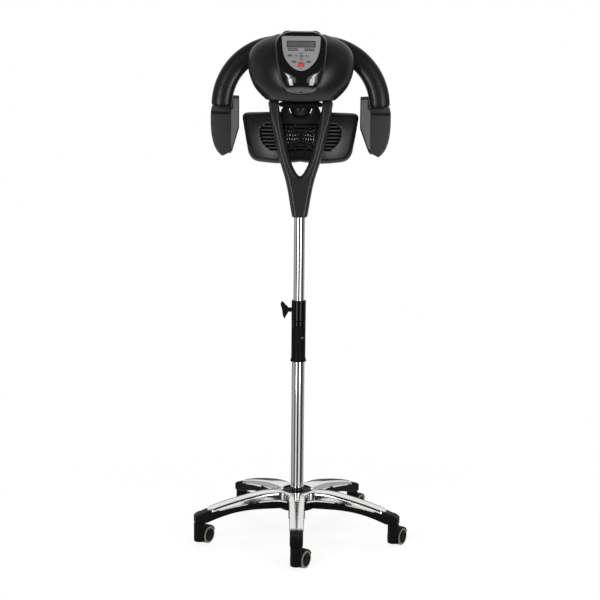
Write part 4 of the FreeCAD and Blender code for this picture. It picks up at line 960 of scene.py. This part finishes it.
def pod_rows():
    """Shell of a side heater: the outline carried along its length, and its two ends.

    It is drawn in by a quarter round at each end, lifted to the rising floor, and cut to
    the seat height ahead of the notch.
    """
    section, y = pod_section(), pod_stations()[:, None]
    near = np.clip(POD_NEAR + NEAR_ROUND - y, 0, NEAR_ROUND) / NEAR_ROUND
    far = np.clip(y - POD_FAR + FAR_ROUND, 0, FAR_ROUND) / FAR_ROUND
    near, far = (1 - np.sqrt(np.maximum(1 - end ** 2, 0)) for end in (near, far))
    roof = np.interp(y, (POD_NEAR, 24, 42, 84.6, 86.4),
                     (POD_BROW, 1247, POD_SEAT, POD_SEAT, POD_TOP))
    floor = np.interp(y, (POD_NEAR, POD_FAR), (POD_NEAR_FLOOR, POD_FAR_FLOOR))
    anchor = np.interp(y, (20, 60, 240, 260), (1150, 1190, 1236, 1242))
    z = soft_max(-soft_max(-section[:, 1], -roof, 3.0), floor, 2.5)
    across, upright = ((1 - a * near) * (1 - b * far) for a, b in zip(NEAR_DRAW, FAR_DRAW))
    x = POD_INNER + (section[:, 0] - POD_INNER) * across
    z = anchor + (z - anchor) * upright
    points = stack(x, y, z)
    grids = [(points, False)]
    for ring in (points[0], points[-1]):
        middle = np.array([POD_INNER, ring[0, 1], (ring[0, 2] + ring[-1, 2]) / 2])
        grids.append((np.stack([middle + (ring - middle) * scale for scale in CAP_RINGS]), False))
    return grids


def shield_frame():
    """Flat rim round the lamp shield: the opening's outline and the same outline drawn in."""
    outline, step = np.array(SHIELD_RIM), np.array(SHIELD_STEP)
    rings = [(outline, 2.0), (outline, -0.4), (outline + step, -0.4), (outline + step, 2.0),
             (outline, 2.0)]
    return np.stack([stack(POD_INNER + out, ring[:, 0], ring[:, 1]) for ring, out in rings]), True


def pods():
    """Both side heaters, each turned in about its own swivel, with rim and swivel boss."""
    for side, flip, toe_in in (("right", 1, 5.0), ("left", -1, 3.2)):
        grids = [(spun(points, toe_in, (SWIVEL_X, ARM_Y)) * (flip, 1, 1), wrap)
                 for points, wrap in pod_rows() + [shield_frame()]]
        boss = lathe([(1226, 12.5), (1257, 12.5), (1257, 8.2), (1226, 8.2), (1226, 12.5)], 48,
                     (flip * SWIVEL_X, ARM_Y, 0))
        body = side + "_side"
        piece("shield_frame_" + side, body, "satin_black", grids[-1:], finish="soot", bevel=0.5)
        piece("side_heater_" + side, body, "satin_black", grids[:-1], [side + "_shell"],
              wall=3.0, outward=(flip * 203, 140, 1210), sharp=48)
        piece("swivel_boss_" + side, body, "satin_black", [boss])


# ----------------------------------------------------------------------- nape heater
NAPE_FOOT = [(0, 1104), (30, 1100.5), (57, 1098.5), (90, 1100), (121, 1103)]
NAPE_SIDE = [(121, 1103), (136, 1108.5), (147, 1120.5), (152, 1133), (156.4, 1158),
             (162.4, 1192), (168, 1224), (168, 1235), (162, 1242.5), (151, 1245)]
# Slots: height of the middle and half the length of the row.
VENT_ROWS = [(1211, 100), (1201, 118), (1190.5, 117), (1180, 116.5), (1169.5, 114.5),
             (1159.5, 109.5), (1149.5, 102.5), (1139.5, 85)]
NAPE_RIM, NAPE_MIDDLE, NAPE_ROUND = 104.0, 1174.0, 13.0
BARREL_AXIS, BARREL_RADIUS, BELLY_RADIUS = 450.0, 420.0, 230.0
FOOT_BLEND, ROOF_BLEND, ROOF_RISE, ROOF_HALF = 1133.0, 1217.0, 2.5, 150.0
SLOT_HALF, SLOT_MARGIN, RIB_INNER, RIB_OUTER = 2.5, 22.0, 42.0, 44.0
THROAT, COLLAR_FOOT, COLLAR_FLANK, COLLAR_CHAMFER = 33.5, 49.0, 56.5, 43.8
GUARD_Y, GUARD_WIRE = 41.6, 1.1


def nape_back(x, z):
    """Barrel with an upright axis: y = 450 - sqrt((420 - belly)^2 - x^2)."""
    belly = (z - NAPE_MIDDLE) ** 2 / (2 * BELLY_RADIUS)
    return BARREL_AXIS - np.sqrt((BARREL_RADIUS - belly) ** 2 - x ** 2)


def nape_grid():
    """Rows follow the slot edges, columns the ribs, slot ends and the rolled outline."""
    side = smooth_line(NAPE_SIDE[:4], 14)[:-1]
    slots = [z + step for z, _ in reversed(VENT_ROWS) for step in (-SLOT_HALF, SLOT_HALF)]
    flank_z = np.r_[1134.6, slots, 1216.5, 1220, 1224]
    flank_x = along_runs(np.array(NAPE_SIDE[3:7])[:, ::-1], flank_z)
    corner = smooth_line(NAPE_SIDE[6:], 16)[1:]
    edge_x, edge_z = np.vstack([side, np.stack([flank_x, flank_z], -1), corner]).T
    half = np.minimum(along_runs(VENT_ROWS[::-1], edge_z), edge_x - SLOT_MARGIN)[:, None]
    core = np.broadcast_to(np.r_[np.linspace(0, 1, 9)[:-1] * 40, 40.0, RIB_INNER],
                           (len(edge_x), 10))
    to_slot = RIB_OUTER + (half - RIB_OUTER) * np.linspace(0, 1, 9)
    to_edge = half + (edge_x[:, None] - half) * np.sin(np.linspace(0, pi / 2, 18))[1:]
    right = np.concatenate([core, to_slot, to_edge], axis=1)
    x = np.concatenate([-right[:, :0:-1], right], axis=1)
    foot_x, foot_z = NAPE_FOOT[-1]
    low = np.clip((FOOT_BLEND - edge_z) / (FOOT_BLEND - foot_z), 0, 1)[:, None]
    high = np.clip((edge_z - ROOF_BLEND) / (NAPE_SIDE[-1][1] - ROOF_BLEND), 0, 1)[:, None]
    z = edge_z[:, None] + (height_on(NAPE_FOOT, np.minimum(np.abs(x), foot_x)) - foot_z) * low
    z += ROOF_RISE * (1 - (x / ROOF_HALF) ** 2) * high
    flat = np.stack([x, z], -1)
    outline = np.vstack([flat[0], flat[:, -1], flat[-1, ::-1], flat[::-1, 0]])
    edge = distance_to(outline, x, z)
    edge[[0, -1]] = 0
    edge[:, [0, -1]] = 0
    top = stack(x, nape_back(x, z) + quarter_round(edge, NAPE_ROUND), z)
    keep = np.ones((x.shape[0] - 1, x.shape[1] - 1), bool)
    middle = x.shape[1] // 2
    slot_rows = len(side) + 1 + 2 * np.arange(len(VENT_ROWS))
    for first, last in ((-8, 8), (10, 18), (-18, -10)):
        keep[slot_rows, middle + first:middle + last] = False
    cell_x, cell_z = (x[:-1, :-1] + x[1:, 1:]) / 2, (z[:-1, :-1] + z[1:, 1:]) / 2
    keep &= np.hypot(cell_x, cell_z - NAPE_HINGE[2]) > THROAT + 2.5
    rim = np.concatenate([top[0], top[1:, -1], top[-1, -2::-1], top[-2:0:-1, 0]])
    open_top = (np.abs(rim[:, 0]) < 30) & (rim[:, 2] > 1200)
    shut = np.broadcast_to(~(open_top | np.roll(open_top, -1)), (4, len(rim)))
    return [(top, False, keep), (drawn(rim, 1, NAPE_RIM, 5), True, shut)]


def nape_collar():
    """Raised plate round the knuckle, a strip carried round a U from the throat outwards.

    Its outer radius is the nearest of a foot, an upright flank and a chamfer at the top.
    """
    turn = np.radians(np.linspace(-3, 183, 121))
    across, down = np.cos(turn), np.sin(turn)
    foot = COLLAR_FOOT / np.maximum(down, 1e-3)
    flank = COLLAR_FLANK / np.maximum(np.abs(across), 1e-3)
    chamfer = COLLAR_CHAMFER / np.maximum(0.866 * np.abs(across) - 0.5 * down, 1e-3)
    reach = np.minimum(flank, chamfer)
    reach = np.where(down <= 0, reach, np.minimum(foot, reach))
    offset = np.array([0, 0, 0.06, 0.16, 0.8, 0.95, 1.0, 1.0])
    depth = np.array([60, 28.6, 27.3, 26.8, 26.8, 27.8, 31.5, 60])
    radius = THROAT + (reach - THROAT)[:, None] * offset
    points = stack(across[:, None] * radius, depth, NAPE_HINGE[2] - down[:, None] * radius)
    return closed_ends(points), True


def vent_shade_plate():
    """Painted shade behind the vents: black superellipse rings with a rounded rim."""
    # Its near-black soot finish is painted shade for the dark inside of the case.
    layers = [(oval(117 + grow, 53 + grow, 7.0, 72), y)
              for grow, y in ((0, 66.6), (1, 67.0), (1, 67.6), (0, 68.0))]
    piece("vent_shade_plate", "nape", "matte_black", [(closed_ends(facing(layers, z=1169)), True)],
          finish="soot")


def nape():
    """Case with its slots, then the collar and hinge ears that carry it."""
    piece("nape_case", "nape", "satin_black", nape_grid(), ["nape_shell"], wall=2.6,
          outward=(0, 95, NAPE_MIDDLE), sharp=50)
    ear = [(34.4, POLE), (34.4, 10.4), (35.4, 11), (48.4, 11), (49.6, 10), (50, 8.6), (50, POLE)]
    ears = lathe_pair(ear, 48, NAPE_HINGE, X_AXIS)
    piece("nape_yoke", "nape", "satin_black", [nape_collar()] + ears, ["nape_shell"], sharp=48)


def finger_guard():
    """Wire rings: circles of wire round the fan's axis, tied by four radial wires."""
    grids = []
    around, wire = full_turn(96)[:, None], full_turn(12)
    for radius in (10, 17, 24, 31, 38):
        r = radius + GUARD_WIRE * np.cos(wire)
        points = stack(r * np.cos(around), GUARD_Y + GUARD_WIRE * np.sin(wire),
                       NAPE_MIDDLE + r * np.sin(around))
        grids.append((np.concatenate([points, points[:1]]), True))
    for degrees in (45, 135, 225, 315):
        axis = (cos(radians(degrees)), 0, sin(radians(degrees)))
        grids.append(lathe([(8, POLE), (8, GUARD_WIRE), (44, GUARD_WIRE), (44, POLE)], 12,
                           (0, 42.9, NAPE_MIDDLE), axis))
    piece("finger_guard", "nape", "chrome", grids, ["nape_fan_guard"])


# --------------------------------------------------------------------- stage and light
WHITE = (1, 1, 1, 1)
GROUND_LEVEL, FILL_STRENGTH = 0.95, 0.4
FLOOR_RADIUS, FLOOR_DROP = 1050.0, -0.3
LENS, SENSOR = 79.178, 36.0
CAMERA_PLACE, CAMERA_DIP, CAMERA_ROLL = (0.00353, -3.7872, 1.2706), 0.14766, 0.0098
# Grey levels round the horizon as (place, level).  Places run from -X through -Y at a
# quarter, +X at a half and +Y at three quarters.
LEVEL_BANDS = [(0.0, 0.42), (0.068, 0.42), (0.08, 0.05), (0.138, 0.05), (0.148, 0.9),
               (0.206, 0.9), (0.214, 0.03), (0.294, 0.03), (0.302, 0.9), (0.376, 0.9),
               (0.386, 0.05), (0.505, 0.06), (0.525, 0.42), (0.62, 0.35), (0.66, 0.8),
               (0.70, 0.8), (0.715, 0.07), (0.785, 0.07), (0.80, 0.85), (0.85, 0.85),
               (0.865, 0.08), (0.91, 0.08), (0.93, 0.42), (1.0, 0.42)]
LOWER_BANDS = [(0.0, 0.5), (0.12, 0.10), (0.16, 0.03), (0.40, 0.03), (0.48, 0.10),
               (0.55, 0.95), (0.95, 0.95), (1.0, 0.5)]
UPPER_BANDS = [(0.0, 0.3), (0.12, 0.08), (0.17, 0.03), (0.33, 0.03), (0.40, 0.12),
               (0.50, 0.35), (0.58, 0.86), (0.92, 0.86), (1.0, 0.3)]
# Each belt takes over from the one below while the ray's upward part runs through its span.
BELTS = ((LOWER_BANDS, -0.88, -0.72), (LEVEL_BANDS, -0.45, -0.32), (UPPER_BANDS, 0.16, 0.30))
# Soft boxes in metres: place, aim, width, height, power, and whether metal mirrors them.
LAMPS = (("left soft box", (-0.84, -1.5, 0.72), (0, 0, 0.72), 0.30, 1.3, 7.5, True),
         ("right soft box", (0.92, -1.5, 0.72), (0, 0, 0.72), 0.40, 1.3, 7.0, True),
         ("front fill", (-1.7, -2.5, 2.6), (0, 0, 1.0), 1.2, 1.2, 60, False),
         ("side fill", (2.0, -2.2, 2.1), (0, 0, 1.0), 1.2, 1.2, 34, False),
         ("top light", (0.2, 0.6, 3.4), (0, 0, 0.9), 1.6, 1.6, 45, False))


def dress_solids():
    """Give every shown solid the finish of its slot."""
    slots = {part["node"]: part["material_slot"] for part in frame["record"]["subparts"]}
    for name, node in frame["nodes"].items():
        if node.hide_render:
            continue
        node.data.materials.clear()
        node.data.materials.append(FINISH[slots[name]])


def grey(level):
    return (level, level, level)


def surroundings():
    """White backdrop for the camera; light and dark sectors of a studio for reflections."""
    world = bpy.data.worlds.new("studio")
    bpy.context.scene.world = world
    g = Graph(world, bare=True)
    way = g.add("ShaderNodeSeparateXYZ", {"Vector": g.place["Generated"]})
    angle = g.add("ShaderNodeMath", {0: way["Y"], 1: way["X"]}, operation="ARCTAN2")["Value"]
    turn = g.spread(angle, 0, 1, -pi, pi)
    shade = (*grey(GROUND_LEVEL), 1)
    for bands, low, high in BELTS:
        belt = g.ramp(turn, [(place, grey(level)) for place, level in bands])
        shade = g.add("ShaderNodeMixRGB", {"Fac": g.spread(way["Z"], 0, 1, low, high),
                                           "Color1": shade, "Color2": belt})["Color"]

    def background(colour, strength):
        return g.add("ShaderNodeBackground", {"Color": colour, "Strength": strength})["Background"]

    path = g.add("ShaderNodeLightPath")
    light = g.add("ShaderNodeMixShader", {"Fac": path["Is Glossy Ray"],
                                          1: background(WHITE, FILL_STRENGTH),
                                          2: background(shade, 1.0)})["Shader"]
    seen = g.add("ShaderNodeMath", {0: path["Is Camera Ray"], 1: path["Is Transmission Ray"]},
                 operation="MAXIMUM")["Value"]
    whole = g.add("ShaderNodeMixShader", {"Fac": seen, 1: light, 2: background(WHITE, 1.0)})
    g.add("ShaderNodeOutputWorld", {"Surface": whole["Shader"]})


def floor_disc():
    """Pale floor: mostly its own white to the camera, with a share that takes the shadow."""
    disc, _ = lathe([(FLOOR_DROP, r) for r in (0.5, 300, 700, FLOOR_RADIUS)], 96)
    mesh = bpy.data.meshes.new("floor")
    mesh.from_pydata((disc.reshape(-1, 3) * MM).tolist(), [], faces_of(4, 96, True, None).tolist())
    floor = bpy.data.objects.new("floor", mesh)
    bpy.context.collection.objects.link(floor)
    g = Graph(bpy.data.materials.new("pale floor"), bare=True)
    place, path = g.place["Object"], g.add("ShaderNodeLightPath")
    noise = g.add("ShaderNodeTexNoise", {"Vector": place, "Scale": 3.0})["Fac"]
    tint = g.ramp(noise, [(0, grey(0.90)), (1, grey(0.94))])
    matt = g.add("ShaderNodeBsdfDiffuse", {"Color": tint})["BSDF"]
    glow = g.add("ShaderNodeEmission")["Emission"]
    reach = g.add("ShaderNodeVectorMath", {0: place}, operation="LENGTH")["Value"]
    fade = g.spread(reach, 0.88, 1.0, 0.5, FLOOR_RADIUS * MM)
    share = g.add("ShaderNodeMath", {0: path["Is Camera Ray"], 1: fade}, operation="MULTIPLY")
    mix = g.add("ShaderNodeMixShader", {"Fac": share["Value"], 1: matt, 2: glow})["Shader"]
    g.add("ShaderNodeOutputMaterial", {"Surface": mix})
    mesh.materials.append(g.owner)
    floor.visible_glossy = False


def lamp(name, place, aim, wide, tall, power, mirrored_by_metal):
    """Soft box that faces a point."""
    light = bpy.data.lights.new(name, "AREA")
    light.shape, light.size, light.size_y, light.energy = "RECTANGLE", wide, tall, power
    made = bpy.data.objects.new(name, light)
    bpy.context.collection.objects.link(made)
    made.location = place
    made.visible_camera, made.visible_glossy = False, mirrored_by_metal
    made.rotation_euler = (Vector(aim) - Vector(place)).to_track_quat("-Z", "Y").to_euler()


def camera():
    lens = bpy.data.cameras.new("camera")
    lens.sensor_width, lens.lens = SENSOR, LENS
    lens.clip_start, lens.clip_end = 0.1, 50
    made = bpy.data.objects.new("camera", lens)
    bpy.context.collection.objects.link(made)
    made.matrix_world = (Matrix.Translation(CAMERA_PLACE)
                         @ Matrix.Rotation(pi / 2 - CAMERA_DIP, 4, "X")
                         @ Matrix.Rotation(CAMERA_ROLL, 4, "Z"))
    bpy.context.scene.camera = made


camera()
star_cover()
base_spider()
hub_disc()
for number, leg_angle in enumerate(LEG_ANGLES, start=1):
    caster(number, leg_angle)
tube("column_tube", "stand", "lower_tube", 19.0, 90, 698)
tube("mast_tube", "mast", "upper_tube", 16.0, 420, 976)
clamp()
wing_knob()
fork()
dome()
canopy()
fairing()
panel_rim()
screen_frame()
key_caps()
panel_marks()
chassis_covers()
arms()
pods()
nape()
vent_shade_plate()
finger_guard()
dress_solids()
surroundings()
floor_disc()
for values in LAMPS:
    lamp(*values)
bpy.context.scene.view_settings.view_transform = "Standard"
